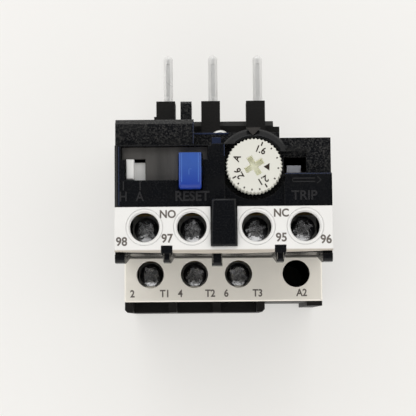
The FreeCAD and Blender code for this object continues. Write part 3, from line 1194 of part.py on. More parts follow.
def slide_bar(front_one):
    """Comb-like bar across the three chambers; each finger stands beside a bimetal tip."""
    back = BIMETAL_AXIS + BAR_GAP / 2 if front_one else BIMETAL_AXIS - BAR_GAP / 2 - BAR
    right = FULCRUM_X - LEVER_SHEET / 2 - STRIP_SHEET - STRIP_GAP
    if front_one:
        right -= 2 * BAR
    pieces = [block(BAR_LEFT, right, BAR_BOTTOM, BAR_TOP, back, back + BAR)]
    for x in PIN_X:
        side = BIMETAL / 2 + FINGER_GAP
        if front_one:
            side = -side - BAR_TRAVEL - FINGER
        start = x + BIMETAL_SHIFT + side
        pieces.append(block(start, start + FINGER, BAR_TOP, BAR_TOP + FINGER_LENGTH, back, back + BAR))
    return join(pieces)


def trip_lever():
    """Bell-crank between the compensating lever, the contact carrier and the flag."""
    half = TRIP_ARM / 2
    bend = CARRIER_FRONT + LEVER_DROP
    top = TRIP_PIVOT_Z + TRIP_TIP
    points = [
        (TRIP_FOOT_X - half, CARRIER_BACK + CARRIER_FLOOR + FIT),
        (TRIP_FOOT_X + half, CARRIER_BACK + CARRIER_FLOOR + FIT),
        (TRIP_FOOT_X + half, bend - FIT),
        (TRIP_PIVOT_X + 0.7 * TRIP_BARREL, TRIP_PIVOT_Z - 0.7 * TRIP_BARREL),
        (TRIP_PIVOT_X + TRIP_BARREL, TRIP_PIVOT_Z),
        (TRIP_PIVOT_X + TRIP_BARREL, top),
        (TRIP_PIVOT_X + TRIP_BARREL - TRIP_HALF, top),
        (TRIP_PIVOT_X - 0.7 * TRIP_BARREL, TRIP_PIVOT_Z + TRIP_BARREL),
        (TRIP_FOOT_X - half, bend + FIT),
    ]
    lever = outline_xz(points, CARRIER_Y - TRIP_HALF, CARRIER_Y + TRIP_HALF)
    low = CARRIER_Y - TRIP_BARREL_HALF
    high = CARRIER_Y + TRIP_BARREL_HALF
    lever = lever.fuse(rod_y(TRIP_PIVOT_X, TRIP_PIVOT_Z, low, high, TRIP_BARREL))
    return lever.cut(rod_y(TRIP_PIVOT_X, TRIP_PIVOT_Z, low, high,
                           FULCRUM_RADIUS + PIN_RUN)).removeSplitter()


def trip_lever_pin():
    reach = TRIP_BARREL_HALF + FIT + EAR
    return rod_y(TRIP_PIVOT_X, TRIP_PIVOT_Z, CARRIER_Y - reach, CARRIER_Y + reach, FULCRUM_RADIUS)


def trip_flag():
    """Light flag behind its window, moved by the tip of the trip lever."""
    front = FRONT_INNER - FLAG_GAP
    back = front - FLAG_SHEET
    strip_left = TRIP_PIVOT_X + EAR_WIDTH / 2 + RUN
    pad = block(FLAG_LEFT, FLAG_RIGHT, FLAG_WINDOW_BOTTOM - EDGE, FLAG_TOP, back, front)
    strip = block(strip_left, strip_left + FLAG_STEM, CARRIER_Y - TRIP_HALF, FLAG_TOP - EDGE, back, front)
    return pad.fuse(strip).removeSplitter()


def contact_carrier():
    """Moulded slide with a slot for the trip lever's foot and one for each contact bridge."""
    low = CARRIER_Y - CARRIER_HALF
    high = CARRIER_Y + CARRIER_HALF
    bar = block(CARRIER_LEFT, CARRIER_RIGHT, low, high, CARRIER_BACK, CARRIER_FRONT)
    cuts = [block(TRIP_FOOT_X - CARRIER_SLOT, TRIP_FOOT_X + CARRIER_SLOT, low, high,
                  CARRIER_BACK + CARRIER_FLOOR,
                  CARRIER_FRONT)]
    for x in (bridge_x("no"), bridge_x("nc")):
        cuts.append(block(x, x + CONTACT_SHEET, low, high, CARRIER_BACK + BRIDGE_BACK,
                          CARRIER_FRONT - BRIDGE_FRONT))
    return bar.cut(cuts)


def bridge_x(kind):
    """Left face of a contact bridge's sheet at rest: closed for NC, open for NO."""
    if kind == "nc":
        return NC_TAB - 2 * CONTACT_TIP_HEIGHT - CONTACT_SHEET
    return NO_TAB + 2 * CONTACT_TIP_HEIGHT + CARRIER_TRAVEL + CONTACT_GAP


def contact_bridge(kind):
    """Moving bridge with a contact button at each end."""
    x = bridge_x(kind)
    back = CARRIER_BACK + BRIDGE_BACK
    front = CARRIER_FRONT - BRIDGE_FRONT
    sheet = block(x, x + CONTACT_SHEET, NEAR_CONTACT_Y - CONTACT_TAB_HALF,
                  FAR_CONTACT_Y + CONTACT_TAB_HALF, back, front)
    face = x + CONTACT_SHEET if kind == "nc" else x - CONTACT_TIP_HEIGHT
    tips = [Part.makeCylinder(CONTACT_TIP, CONTACT_TIP_HEIGHT, vec(face, y, (back + front) / 2), X_AXIS)
            for y in (NEAR_CONTACT_Y, FAR_CONTACT_Y)]
    return join([sheet] + tips)


def strip_riser(name):
    """X of the stretch of a control contact strip that runs up into the mechanism room."""
    if name == "98":
        return NO_TAB - BRIDGE_BACK
    if name == "97":
        return CONTROL_X["97"] - CLAMP / 2 + STRIP_WIDTH / 2
    if name == "95":
        return NC_TAB - STRIP_WIDTH / 2 + FIT
    return CONTROL_X["96"] + CONTACT_SHEET


def control_terminal(name):
    """Terminal plate with a strip that ends in a turned-down tab and its contact button."""
    x = CONTROL_X[name]
    half = CLAMP / 2
    front = CONTROL_PLATE_FRONT
    back = front - CONTROL_PLATE
    normally_open = name in ("98", "97")
    far = name in ("97", "96")
    tab_y = FAR_CONTACT_Y if far else NEAR_CONTACT_Y
    face = NO_TAB if normally_open else NC_TAB
    riser = strip_riser(name)
    low = tab_y - CONTACT_TAB_HALF
    high = tab_y + CONTACT_TAB_HALF
    pad = block(x - half, x + half, CONTROL_Y - half, CONTROL_WALL_TOP - FIT, back, front)
    reach = block(riser - STRIP_WIDTH / 2, riser + STRIP_WIDTH / 2, CONTROL_Y, high, back, front)
    outer = face - CONTACT_SHEET if normally_open else face + CONTACT_SHEET
    tab_low, tab_high = sorted((face, outer))
    cross_low = min(tab_low, riser - STRIP_WIDTH / 2)
    cross_high = max(tab_high, riser + STRIP_WIDTH / 2)
    cross = block(cross_low, cross_high, low, high, back, front)
    tab_back = CARRIER_BACK + BRIDGE_BACK
    tab = block(tab_low, tab_high, low, high, tab_back, front)
    start = face if normally_open else face - CONTACT_TIP_HEIGHT
    middle = (tab_back + CARRIER_FRONT - BRIDGE_FRONT) / 2
    tip = Part.makeCylinder(CONTACT_TIP - SEAM, CONTACT_TIP_HEIGHT, vec(start, tab_y, middle), X_AXIS)
    return join([pad, reach, cross, tab, tip]).cut(pillar(x, CONTROL_Y, back, front, SCREW_SHANK + FIT))


# --- write one file per piece ---------------------------------------------------------------------
os.makedirs("parts", exist_ok=True)
write("rear_cover", rear_cover())
write("case_screws", case_screws())
write("rear_housing", rear_housing())
write("power_terminal_block", terminal_block())
write("power_terminal_cover", power_terminal_cover())
write("front_housing", front_housing())
write("control_terminal_cover", control_terminal_cover())
write("guide_plate", guide_plate())
write("front_screw", front_screw())

for number, pin in enumerate(PIN_X, 1):
    write("contact_pin_%d" % number, contact_pin(pin))
    write("bimetal_strip_%d" % number, bimetal_strip(pin))
    write("heater_winding_%d" % number, heater_winding(pin))
    write("power_terminal_%d" % number, power_terminal(pin + TERMINAL_SHIFT))

power_seat = POWER_PLATE_FRONT + CLAMP_SHEET
write("power_wire_clamps", Part.makeCompound([wire_clamp(x, POWER_Y, POWER_PLATE_FRONT) for x in POWER_X]))
write("power_terminal_screws", Part.makeCompound(
    [terminal_screw(x, POWER_Y, power_seat, POWER_SCREW_REACH) for x in POWER_X]))
control_seat = CONTROL_PLATE_FRONT + CLAMP_SHEET
write("control_wire_clamps", Part.makeCompound(
    [wire_clamp(x, CONTROL_Y, CONTROL_PLATE_FRONT) for x in CONTROL_X.values()]))
write("control_terminal_screws", Part.makeCompound(
    [terminal_screw(x, CONTROL_Y, control_seat, CONTROL_SCREW_REACH) for x in CONTROL_X.values()]))
for name in CONTROL_X:
    write("control_terminal_" + name, control_terminal(name))

write("setting_dial", setting_dial())
write("setting_slide", setting_slide())
write("fulcrum_pin", fulcrum_pin())
write("compensating_lever", compensating_lever())
write("compensating_bimetal", compensating_bimetal())
write("push_bar", slide_bar(False))
write("pull_bar", slide_bar(True))
write("trip_lever", trip_lever())
write("trip_lever_pin", trip_lever_pin())
write("trip_flag", trip_flag())
write("contact_carrier", contact_carrier())
write("nc_contact_bridge", contact_bridge("nc"))
write("no_contact_bridge", contact_bridge("no"))
write("mode_selector", mode_selector())
write("reset_button", reset_button())
write("reset_spring", reset_spring())
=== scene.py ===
import math

import bmesh
import bpy
from mathutils import Matrix, Vector


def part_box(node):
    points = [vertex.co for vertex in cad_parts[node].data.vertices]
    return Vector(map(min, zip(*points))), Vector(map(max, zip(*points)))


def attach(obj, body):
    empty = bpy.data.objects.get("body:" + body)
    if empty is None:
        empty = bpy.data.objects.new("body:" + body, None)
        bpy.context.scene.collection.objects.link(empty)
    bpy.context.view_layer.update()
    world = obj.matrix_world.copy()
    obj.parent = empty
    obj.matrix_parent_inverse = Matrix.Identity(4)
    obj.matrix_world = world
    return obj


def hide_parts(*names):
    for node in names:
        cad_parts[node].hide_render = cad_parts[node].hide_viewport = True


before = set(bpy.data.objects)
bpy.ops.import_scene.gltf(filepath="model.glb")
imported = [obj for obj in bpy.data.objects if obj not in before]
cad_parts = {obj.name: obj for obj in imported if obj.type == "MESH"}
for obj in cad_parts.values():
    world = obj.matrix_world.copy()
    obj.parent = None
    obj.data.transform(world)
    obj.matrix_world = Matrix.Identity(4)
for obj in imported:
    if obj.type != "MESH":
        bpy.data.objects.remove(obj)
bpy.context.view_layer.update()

# --- Rear cover: black moulded sheet whose rim locates in the rear housing and closes its chambers.
# Matt brownish black, with the fine spark grain that all the black mouldings share.
MM = 0.001
NOISE_LOW = 0.32
NOISE_HIGH = 0.68
GRAIN_DEPTH = 0.05


def skin_group():
    """Mould grain, as a height, and broad uneven patches, as a mask."""
    tree = bpy.data.node_groups.new("mould_skin", "ShaderNodeTree")
    for label, value in (("Grain", 2400.0), ("Stretch", 1.0), ("Patches", 260.0)):
        socket = tree.interface.new_socket(label, in_out="INPUT", socket_type="NodeSocketFloat")
        socket.default_value = value
    for label in ("Height", "Patch"):
        tree.interface.new_socket(label, in_out="OUTPUT", socket_type="NodeSocketFloat")
    start = tree.nodes.new("NodeGroupInput")
    end = tree.nodes.new("NodeGroupOutput")
    place = tree.nodes.new("ShaderNodeTexCoord")
    factor = tree.nodes.new("ShaderNodeCombineXYZ")
    factor.inputs["X"].default_value = 1
    factor.inputs["Z"].default_value = 1
    stretched = tree.nodes.new("ShaderNodeVectorMath")
    stretched.operation = "MULTIPLY"
    tree.links.new(start.outputs["Stretch"], factor.inputs["Y"])
    tree.links.new(place.outputs["Object"], stretched.inputs[0])
    tree.links.new(factor.outputs["Vector"], stretched.inputs[1])
    for source, target, detail in (("Grain", "Height", 3), ("Patches", "Patch", 2)):
        noise = tree.nodes.new("ShaderNodeTexNoise")
        noise.inputs["Detail"].default_value = detail
        spread = tree.nodes.new("ShaderNodeMapRange")
        spread.inputs["From Min"].default_value = NOISE_LOW
        spread.inputs["From Max"].default_value = NOISE_HIGH
        tree.links.new(stretched.outputs["Vector"], noise.inputs["Vector"])
        tree.links.new(start.outputs[source], noise.inputs["Scale"])
        tree.links.new(noise.outputs["Fac"], spread.inputs["Value"])
        tree.links.new(spread.outputs["Result"], end.inputs[target])
    return tree


mould_skin = skin_group()


def finish_of(name, colour, roughness, metallic=0.0, specular=0.5, grain=2400.0, relief=0.1,
              stretch=1.0, shade=0.85, uneven=0.1, rounding=0.15):
    """Material of one moulding or metal: grained, a little uneven, its edges catching the light."""
    material = bpy.data.materials.new(name)
    material.use_nodes = True
    tree = material.node_tree
    shader = tree.nodes["Principled BSDF"]
    shader.inputs["Metallic"].default_value = metallic
    shader.inputs["Specular IOR Level"].default_value = specular
    skin = tree.nodes.new("ShaderNodeGroup")
    skin.name = "skin"
    skin.node_tree = mould_skin
    skin.inputs["Grain"].default_value = grain
    skin.inputs["Stretch"].default_value = stretch
    tint = tree.nodes.new("ShaderNodeMix")
    tint.name = "tint"
    tint.data_type = "RGBA"
    tint.inputs["A"].default_value = (*colour, 1)
    tint.inputs["B"].default_value = (*[shade * c for c in colour], 1)
    rough = tree.nodes.new("ShaderNodeMapRange")
    rough.inputs["To Min"].default_value = roughness - uneven / 2
    rough.inputs["To Max"].default_value = roughness + uneven / 2
    edge = tree.nodes.new("ShaderNodeBevel")
    edge.inputs["Radius"].default_value = rounding * MM
    bump = tree.nodes.new("ShaderNodeBump")
    bump.name = "bump"
    bump.inputs["Strength"].default_value = relief
    bump.inputs["Distance"].default_value = GRAIN_DEPTH * MM
    tree.links.new(skin.outputs["Patch"], tint.inputs["Factor"])
    tree.links.new(skin.outputs["Patch"], rough.inputs["Value"])
    tree.links.new(skin.outputs["Height"], bump.inputs["Height"])
    tree.links.new(edge.outputs["Normal"], bump.inputs["Normal"])
    tree.links.new(tint.outputs["Result"], shader.inputs["Base Color"])
    tree.links.new(rough.outputs["Result"], shader.inputs["Roughness"])
    tree.links.new(bump.outputs["Normal"], shader.inputs["Normal"])
    return material


def dress(material, *names):
    """Gives CAD pieces their finish."""
    for name in names:
        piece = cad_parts[name]
        piece.data.materials.clear()
        piece.data.materials.append(material)


rear_black = finish_of("rear_black", (0.0075, 0.0066, 0.006), 0.5, specular=0.3, relief=0.35)
dress(rear_black, "rear_cover")

# --- Case screws: four small countersunk screws with a slot, zinc plated, turned in from behind
# through the rear cover into the rear housing.
zinc = finish_of("zinc_screw", (0.72, 0.73, 0.76), 0.14, metallic=1, grain=1500, relief=2.2,
                 shade=0.35, uneven=0.2)
dress(zinc, "case_screws")

# --- Rear housing: brownish black moulding with the three thermal chambers, the pin sleeves and
# the stepped upper edge. It is the part that every other moulding is fixed to.
dress(rear_black, "rear_housing")

# --- Power terminal block: black moulding with three wire compartments and the passage to the
# coil screw behind the relay. It is moulded in the rear housing's colour and sits in front of it.
dress(rear_black, "power_terminal_block")

# --- Contact pins: round silver plated pins with a groove along the front; their flat roots are
# bent down into the chambers and welded to the bimetals.
pin_silver = finish_of("pin_silver", (0.76, 0.76, 0.755), 0.34, metallic=0.3, grain=1400,
                       relief=0.7, stretch=0.4, shade=0.9, uneven=0.2)
dress(pin_silver, "contact_pin_1", "contact_pin_2", "contact_pin_3")

# --- Bimetal strips, their heater windings and the brass terminals that carry the motor current.
# Rolled strip, resistance ribbon wound round it, and stamped plates with a welded tongue.
bimetal = finish_of("bimetal", (0.45, 0.42, 0.38), 0.4, metallic=1, stretch=0.1)
heater_ribbon = finish_of("heater_ribbon", (0.4, 0.38, 0.34), 0.45, metallic=1, stretch=0.1)
contact_brass = finish_of("contact_brass", (0.66, 0.49, 0.23), 0.36, metallic=1, stretch=0.2,
                          shade=0.8)
for number in (1, 2, 3):
    dress(bimetal, "bimetal_strip_%d" % number)
    dress(heater_ribbon, "heater_winding_%d" % number)
    dress(contact_brass, "power_terminal_%d" % number)

# --- Terminal screws: pan heads with a cross recess over a full slot, zinc plated and darkened.
# The screws of the rear and front strips are alike; each is turned as its wire left it.
THREAD_RADIUS = 1.75
POINT_RADIUS = 1.1
POINT_LENGTH = 0.8
HEAD_PROFILE = ((0.75, 2.26), (1.45, 2.16), (2.05, 1.9), (2.45, 1.5), (2.63, 1.0), (2.65, 0.55),
                (2.55, 0.12), (2.45, 0.0), (THREAD_RADIUS, 0.0))
HEAD_TOP = 2.3
HEAD_SIDES = 48
SHARP_ANGLE = 35
CROSS_LENGTH = 3.3
CROSS_WIDTH = 0.85
CROSS_DEPTH = 1.15
SLOT_LENGTH = 6.0
SLOT_WIDTH = 0.6
SLOT_DEPTH = 0.55


def linked(name, data):
    """Puts a mesh, a text, a lamp or a camera into the scene."""
    piece = bpy.data.objects.new(name, data)
    bpy.context.scene.collection.objects.link(piece)
    return piece


def settled(piece):
    """Plain mesh of a piece with its modifiers, text or nodes worked in; the piece itself goes."""
    depsgraph = bpy.context.evaluated_depsgraph_get()
    mesh = bpy.data.meshes.new_from_object(piece.evaluated_get(depsgraph), depsgraph=depsgraph)
    name = piece.name
    bpy.data.objects.remove(piece)
    mesh.name = name
    return mesh


def circle(form, radius, height, sides, x=0, y=0):
    """Corners of a ring about an upright axis, in millimetres."""
    corners = []
    for k in range(sides):
        angle = 2 * math.pi * k / sides
        corners.append(form.verts.new((MM * (x + radius * math.cos(angle)),
                                       MM * (y + radius * math.sin(angle)), MM * height)))
    return corners


def turned(name, profile, top, bottom, sides):
    """Closed turned shape: rings of (radius, height) between two middle points."""
    form = bmesh.new()
    rings = [circle(form, radius, height, sides) for radius, height in profile]
    high = form.verts.new((0, 0, top * MM))
    low = form.verts.new((0, 0, bottom * MM))
    for k in range(sides):
        after = (k + 1) % sides
        form.faces.new((high, rings[0][k], rings[0][after]))
        form.faces.new((low, rings[-1][after], rings[-1][k]))
        for upper, lower in zip(rings, rings[1:]):
            form.faces.new((upper[k], lower[k], lower[after], upper[after]))
    bmesh.ops.recalc_face_normals(form, faces=form.faces)
    mesh = bpy.data.meshes.new(name)
    form.to_mesh(mesh)
    form.free()
    return linked(name, mesh)


def box_piece(name, low, high):
    """Box between two corners in millimetres."""
    form = bmesh.new()
    bmesh.ops.create_cube(form, size=1)
    middle = (Vector(low) + Vector(high)) * MM / 2
    size = (Vector(high) - Vector(low)) * MM
    place = Matrix.Translation(middle) @ Matrix.Diagonal((*size, 1))
    bmesh.ops.transform(form, matrix=place, verts=form.verts)
    mesh = bpy.data.meshes.new(name)
    form.to_mesh(mesh)
    form.free()
    return linked(name, mesh)


def cut(piece, cutter):
    """Takes one shape out of another."""
    tool = piece.modifiers.new("cut", "BOOLEAN")
    tool.operation = "DIFFERENCE"
    tool.solver = "EXACT"
    tool.object = cutter
    mesh = settled(piece)
    bpy.data.objects.remove(cutter)
    return linked(mesh.name, mesh)


def screw_form(shank):
    """One terminal screw, its seat at height 0."""
    profile = HEAD_PROFILE + ((THREAD_RADIUS, POINT_LENGTH - shank), (POINT_RADIUS, -shank))
    screw = turned("screw_form", profile, HEAD_TOP, -shank, HEAD_SIDES)
    for length, width, depth in ((CROSS_LENGTH, CROSS_WIDTH, CROSS_DEPTH),
                                 (CROSS_WIDTH, CROSS_LENGTH, CROSS_DEPTH),
                                 (SLOT_LENGTH, SLOT_WIDTH, SLOT_DEPTH)):
        screw = cut(screw, box_piece("tool", (-length / 2, -width / 2, HEAD_TOP - depth),
                                     (length / 2, width / 2, HEAD_TOP + 1)))
    return screw


def screw_tree():
    """Sets one screw at each point, turned by a fixed seed."""
    tree = bpy.data.node_groups.new("terminal_screws", "GeometryNodeTree")
    for label, kind in (("Geometry", "Geometry"), ("Screw", "Object"), ("Size", "Float"),
                        ("Seed", "Int"), ("Finish", "Material")):
        tree.interface.new_socket(label, in_out="INPUT", socket_type="NodeSocket" + kind)
    tree.interface.new_socket("Geometry", in_out="OUTPUT", socket_type="NodeSocketGeometry")
    start = tree.nodes.new("NodeGroupInput")
    end = tree.nodes.new("NodeGroupOutput")
    source = tree.nodes.new("GeometryNodeObjectInfo")
    turn = tree.nodes.new("FunctionNodeRandomValue")
    turn.data_type = "FLOAT"
    turn.inputs[3].default_value = math.pi  # the largest turn: half a circle
    spin = tree.nodes.new("ShaderNodeCombineXYZ")
    place = tree.nodes.new("GeometryNodeInstanceOnPoints")
    real = tree.nodes.new("GeometryNodeRealizeInstances")
    paint = tree.nodes.new("GeometryNodeSetMaterial")
    tree.links.new(start.outputs["Screw"], source.inputs["Object"])
    tree.links.new(start.outputs["Seed"], turn.inputs["Seed"])
    tree.links.new(turn.outputs[1], spin.inputs["Z"])
    tree.links.new(start.outputs["Geometry"], place.inputs["Points"])
    tree.links.new(source.outputs["Geometry"], place.inputs["Instance"])
    tree.links.new(spin.outputs["Vector"], place.inputs["Rotation"])
    tree.links.new(start.outputs["Size"], place.inputs["Scale"])
    tree.links.new(place.outputs["Instances"], real.inputs["Geometry"])
    tree.links.new(real.outputs["Geometry"], paint.inputs["Geometry"])
    tree.links.new(start.outputs["Finish"], paint.inputs["Material"])
    tree.links.new(paint.outputs["Geometry"], end.inputs["Geometry"])
    return tree


def set_inputs(modifier, values):
    """Fills a geometry modifier's named inputs."""
    for item in modifier.node_group.interface.items_tree:
        if item.item_type == "SOCKET" and item.in_out == "INPUT" and item.name in values:
            modifier[item.identifier] = values[item.name]


def merged_copy(node):
    """Editable copy of a CAD piece with its corners joined up."""
    form = bmesh.new()
    form.from_mesh(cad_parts[node].data)
    bmesh.ops.remove_doubles(form, verts=form.verts, dist=0.001 * MM)
    return form


def solids_of(node):
    """Boxes of the separate solids in a CAD piece, from left to right."""
    form = merged_copy(node)
    left = set(form.verts)
    boxes = []
    while left:
        group = [left.pop()]
        for vert in group:
            for edge in vert.link_edges:
                other = edge.other_vert(vert)
                if other in left:
                    left.remove(other)
                    group.append(other)
        low = Vector([min(v.co[i] for v in group) for i in range(3)])
        high = Vector([max(v.co[i] for v in group) for i in range(3)])
        boxes.append((low, high))
    form.free()
    return sorted(boxes, key=lambda corner: corner[0].x)


screws_on_points = screw_tree()


def terminal_screws(node, seed):
    """Replaces a row of CAD screws with detailed ones at the same places."""
    boxes = solids_of(node)
    low, high = boxes[0]
    form = screw_form((high.z - low.z) / MM - HEAD_TOP)
    points = bpy.data.meshes.new(node + "_places")
    seats = [((a.x + b.x) / 2, (a.y + b.y) / 2, b.z - HEAD_TOP * MM) for a, b in boxes]
    points.from_pydata(seats, [], [])
    row = linked(node + "_detailed", points)
    nodes = row.modifiers.new("screws", "NODES")
    nodes.node_group = screws_on_points
    set_inputs(nodes, {"Screw": form, "Size": 1.0, "Seed": seed, "Finish": zinc})
    mesh = settled(row)
    bpy.data.objects.remove(form)
    mesh.shade_smooth()
    mesh.set_sharp_from_angle(angle=math.radians(SHARP_ANGLE))
    row = linked(mesh.name, mesh)
    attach(row, "housing")
    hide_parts(node)


terminal_screws("power_terminal_screws", 4)
terminal_screws("control_terminal_screws", 7)

# --- Wire clamps: square saddle washers of plated steel under the screw heads, which press the
# wire on its terminal plate.
plated_steel = finish_of("plated_steel", (0.5, 0.5, 0.48), 0.38, metallic=1, grain=1200, relief=0.1,
                         shade=0.75)
dress(plated_steel, "power_wire_clamps", "control_wire_clamps")

# --- Rear terminal cover: cream moulded sheet snapped over the terminal block, with the terminal
# numbers printed below its holes in grey brown.
cream = finish_of("cream_cover", (0.88, 0.845, 0.775), 0.42, specular=0.35, grain=1400, relief=0.05,
                  shade=0.96)
TAB_TOPS = (-22.6, -21.9)
TAB_REACH = 1.2
TAB_DROP = 0.55
INK = 0.02
REAR_FIGURE = 1.6
REAR_LINE = -24.6
REAR_WORDS = (("2", -20.8), ("T1", -13.4), ("4", -9.9), ("T2", -3.1), ("6", 0.55), ("T3", 7.7),
              ("A2", 17.7))


def painted(name, form, material):
    """Piece of one material out of an edited form."""
    mesh = bpy.data.meshes.new(name)
    form.to_mesh(mesh)
    form.free()
    mesh.materials.clear()
    mesh.materials.append(material)
    for face in mesh.polygons:
        face.material_index = 0
    return linked(name, mesh)


def stand_in(form, node, body, material):
    """Shows an edited copy in place of its CAD piece."""
    piece = painted(node + "_detailed", form, material)
    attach(piece, body)
    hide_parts(node)


# the small tab at the lower edge of each screw hole is a little shorter
form = merged_copy("power_terminal_cover")
middles = [(a.x + b.x) / 2 for a, b in solids_of("power_terminal_screws")]
for vert in form.verts:
    beside = min(abs(vert.co.x - x) for x in middles)
    if TAB_TOPS[0] < vert.co.y / MM < TAB_TOPS[1] and beside < TAB_REACH * MM:
        vert.co.y -= TAB_DROP * MM
stand_in(form, "power_terminal_cover", "housing", cream)
print_ink = finish_of("strip_print", (0.16, 0.142, 0.13), 0.6, specular=0.2, relief=0,
                      rounding=0.02)


def lettering(name, words, height, spot, thickness, weight, width, turn=0):
    """Mesh of one word: its middle at spot, its capitals height millimetres high."""
    capital = 0.7  # share of the font's size
    text = bpy.data.curves.new(name, "FONT")
    text.body = words
    text.align_x = "CENTER"
    text.align_y = "CENTER"
    text.size = height / capital * MM
    text.extrude = thickness / 2 * MM
    text.offset = weight * MM
    text.resolution_u = 4
    mesh = settled(linked(name, text))
    place = Matrix.Translation(Vector(spot) * MM) @ Matrix.Rotation(math.radians(turn), 4, "Z")
    mesh.transform(place @ Matrix.Diagonal((width, 1, 1, 1)))
    return mesh


def together(name, meshes, material, body):
    """One piece out of several meshes."""
    form = bmesh.new()
    for mesh in meshes:
        form.from_mesh(mesh)
        bpy.data.meshes.remove(mesh)
    piece = painted(name, form, material)
    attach(piece, body)


rear_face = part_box("power_terminal_cover")[1].z / MM + INK
together("rear_strip_numbers",
         [lettering("number", words, REAR_FIGURE, (x, REAR_LINE, rear_face), INK, weight=0.055,
                    width=0.9) for words, x in REAR_WORDS], print_ink, "housing")

# --- Front housing: glossy bluish black moulding. The two upper blocks are grained, the faces round
# the dial, the windows and the tongue are smooth; its words and signs are raised with the mould.
FRONT_FACE = 61.6
GRAINED_BELOW = 59.5
BLOCK_RELIEF = 0.55
FACE_RELIEF = 0.08
SPECK_FROM = 0.38
SPECK_STRENGTH = 0.9
RIB_ROOT = -16.25
RIB_TIP = -17.0
RIB_BACK = 56.8
RIB_DROP = 0.6
RIB_HALF = 1.3
RIB_TAPER = 0.66
LUGGED_RIBS = (-11.84, 11.8)
EMBOSS = 0.16
SIGN_LINE = -5.0
# words, height, middle, weight and width
SIGN_WORDS = (("H", 2.0, -20.87, 0.04, 0.85), ("A", 2.0, -17.4, 0.04, 0.85),
              ("RESET", 2.0, -6.5, 0.07, 0.95), ("TRIP", 1.9, 16.9, 0.05, 1.0))


def ramp(tree, value, start, end, low, high, curve="LINEAR"):
    """Low while the value is under start, high once it is over end."""
    spread = tree.nodes.new("ShaderNodeMapRange")
    spread.interpolation_type = curve
    spread.inputs["From Min"].default_value = start
    spread.inputs["From Max"].default_value = end
    spread.inputs["To Min"].default_value = low
    spread.inputs["To Max"].default_value = high
    tree.links.new(value, spread.inputs["Value"])
    return spread.outputs["Result"]


def fade(tree, axis, start, end, low, high):
    """The same along one axis of the piece, in millimetres."""
    place = tree.nodes.new("ShaderNodeTexCoord")
    split = tree.nodes.new("ShaderNodeSeparateXYZ")
    tree.links.new(place.outputs["Object"], split.inputs["Vector"])
    return ramp(tree, split.outputs[axis], start * MM, end * MM, low, high)


def reckon(tree, operation, first, second):
    """Reckons with two values; the second may be a plain number."""
    node = tree.nodes.new("ShaderNodeMath")
    node.operation = operation
    tree.links.new(first, node.inputs[0])
    if isinstance(second, (int, float)):
        node.inputs[1].default_value = second
    else:
        tree.links.new(second, node.inputs[1])
    return node.outputs["Value"]


def tint_over(material, colour, mask):
    """Lays a second colour over the finish where the mask is."""
    tree = material.node_tree
    over = tree.nodes.new("ShaderNodeMix")
    over.data_type = "RGBA"
    over.inputs["B"].default_value = (*colour, 1)
    tree.links.new(mask, over.inputs["Factor"])
    tree.links.new(tree.nodes["tint"].outputs["Result"], over.inputs["A"])
    tree.links.new(over.outputs["Result"], tree.nodes["Principled BSDF"].inputs["Base Color"])


# spark grain with pale specks on the set-back blocks only
front_black = finish_of("front_black", (0.0042, 0.0048, 0.0064), 0.25, specular=0.28, grain=3000,
                        shade=0.7, uneven=0.12, rounding=0.22)
tree = front_black.node_tree
grained = fade(tree, "Z", GRAINED_BELOW - 0.1, GRAINED_BELOW + 0.1, BLOCK_RELIEF, FACE_RELIEF)
tree.links.new(grained, tree.nodes["bump"].inputs["Strength"])
specks = ramp(tree, tree.nodes["skin"].outputs["Height"], SPECK_FROM, 1, 0, SPECK_STRENGTH)
tint_over(front_black, (0.08, 0.078, 0.075), reckon(tree, "MULTIPLY", specks, grained))
# the barrier ribs are thin toward the front, and the two with lugs narrow to a rounded tip
form = merged_copy("front_housing")
for vert in form.verts:
    if vert.co.y < RIB_ROOT * MM and vert.co.z < RIB_BACK * MM:
        vert.co.z = RIB_BACK * MM
    if vert.co.y < RIB_TIP * MM:
        vert.co.y -= RIB_DROP * MM
        for middle in LUGGED_RIBS:
            if abs(vert.co.x - middle * MM) < RIB_HALF * MM:
                vert.co.x = (middle + (vert.co.x / MM - middle) * RIB_TAPER) * MM
stand_in(form, "front_housing", "housing", front_black)
# painted highlight: the raised signs are painted a paler black than the face, for the light caught
# by their raised edges
raised_black = finish_of("raised_black", (0.022, 0.022, 0.024), 0.3, specular=0.6, relief=0.3,
                         rounding=0.05)


def bar(low_x, high_x, low_y, high_y, low_z, high_z):
    """Mesh of a straight raised line."""
    piece = box_piece("bar", (low_x, low_y, low_z), (high_x, high_y, high_z))
    mesh = piece.data
    bpy.data.objects.remove(piece)
    return mesh


low_z = FRONT_FACE - EMBOSS / 2
high_z = FRONT_FACE + EMBOSS / 2
signs = [lettering("sign", words, height, (x, SIGN_LINE, FRONT_FACE), EMBOSS, weight, width)
         for words, height, x, weight, width in SIGN_WORDS]
# the lines under H and A, and the arrow beside them
signs += [
    bar(-20.95, -20.7, -3.6, -1.7, low_z, high_z),
    bar(-17.45, -17.2, -3.6, -1.7, low_z, high_z),
    bar(14.4, 19.2, -1.45, -1.25, low_z, high_z),
    bar(14.4, 19.2, -2.15, -1.95, low_z, high_z),
    bar(14.4, 14.6, -2.15, -1.25, low_z, high_z),
]
# the two strokes of the arrow's head
for side in (-1, 1):
    half_head = bar(-0.1, 0.1, 0, 1.05, low_z, high_z)
    tip = Matrix.Translation(Vector((20.45, -1.7, 0)) * MM)
    half_head.transform(tip @ Matrix.Rotation(math.radians(90 + side * 40), 4, "Z"))
    signs.append(half_head)
together("raised_signs", signs, raised_black, "housing")
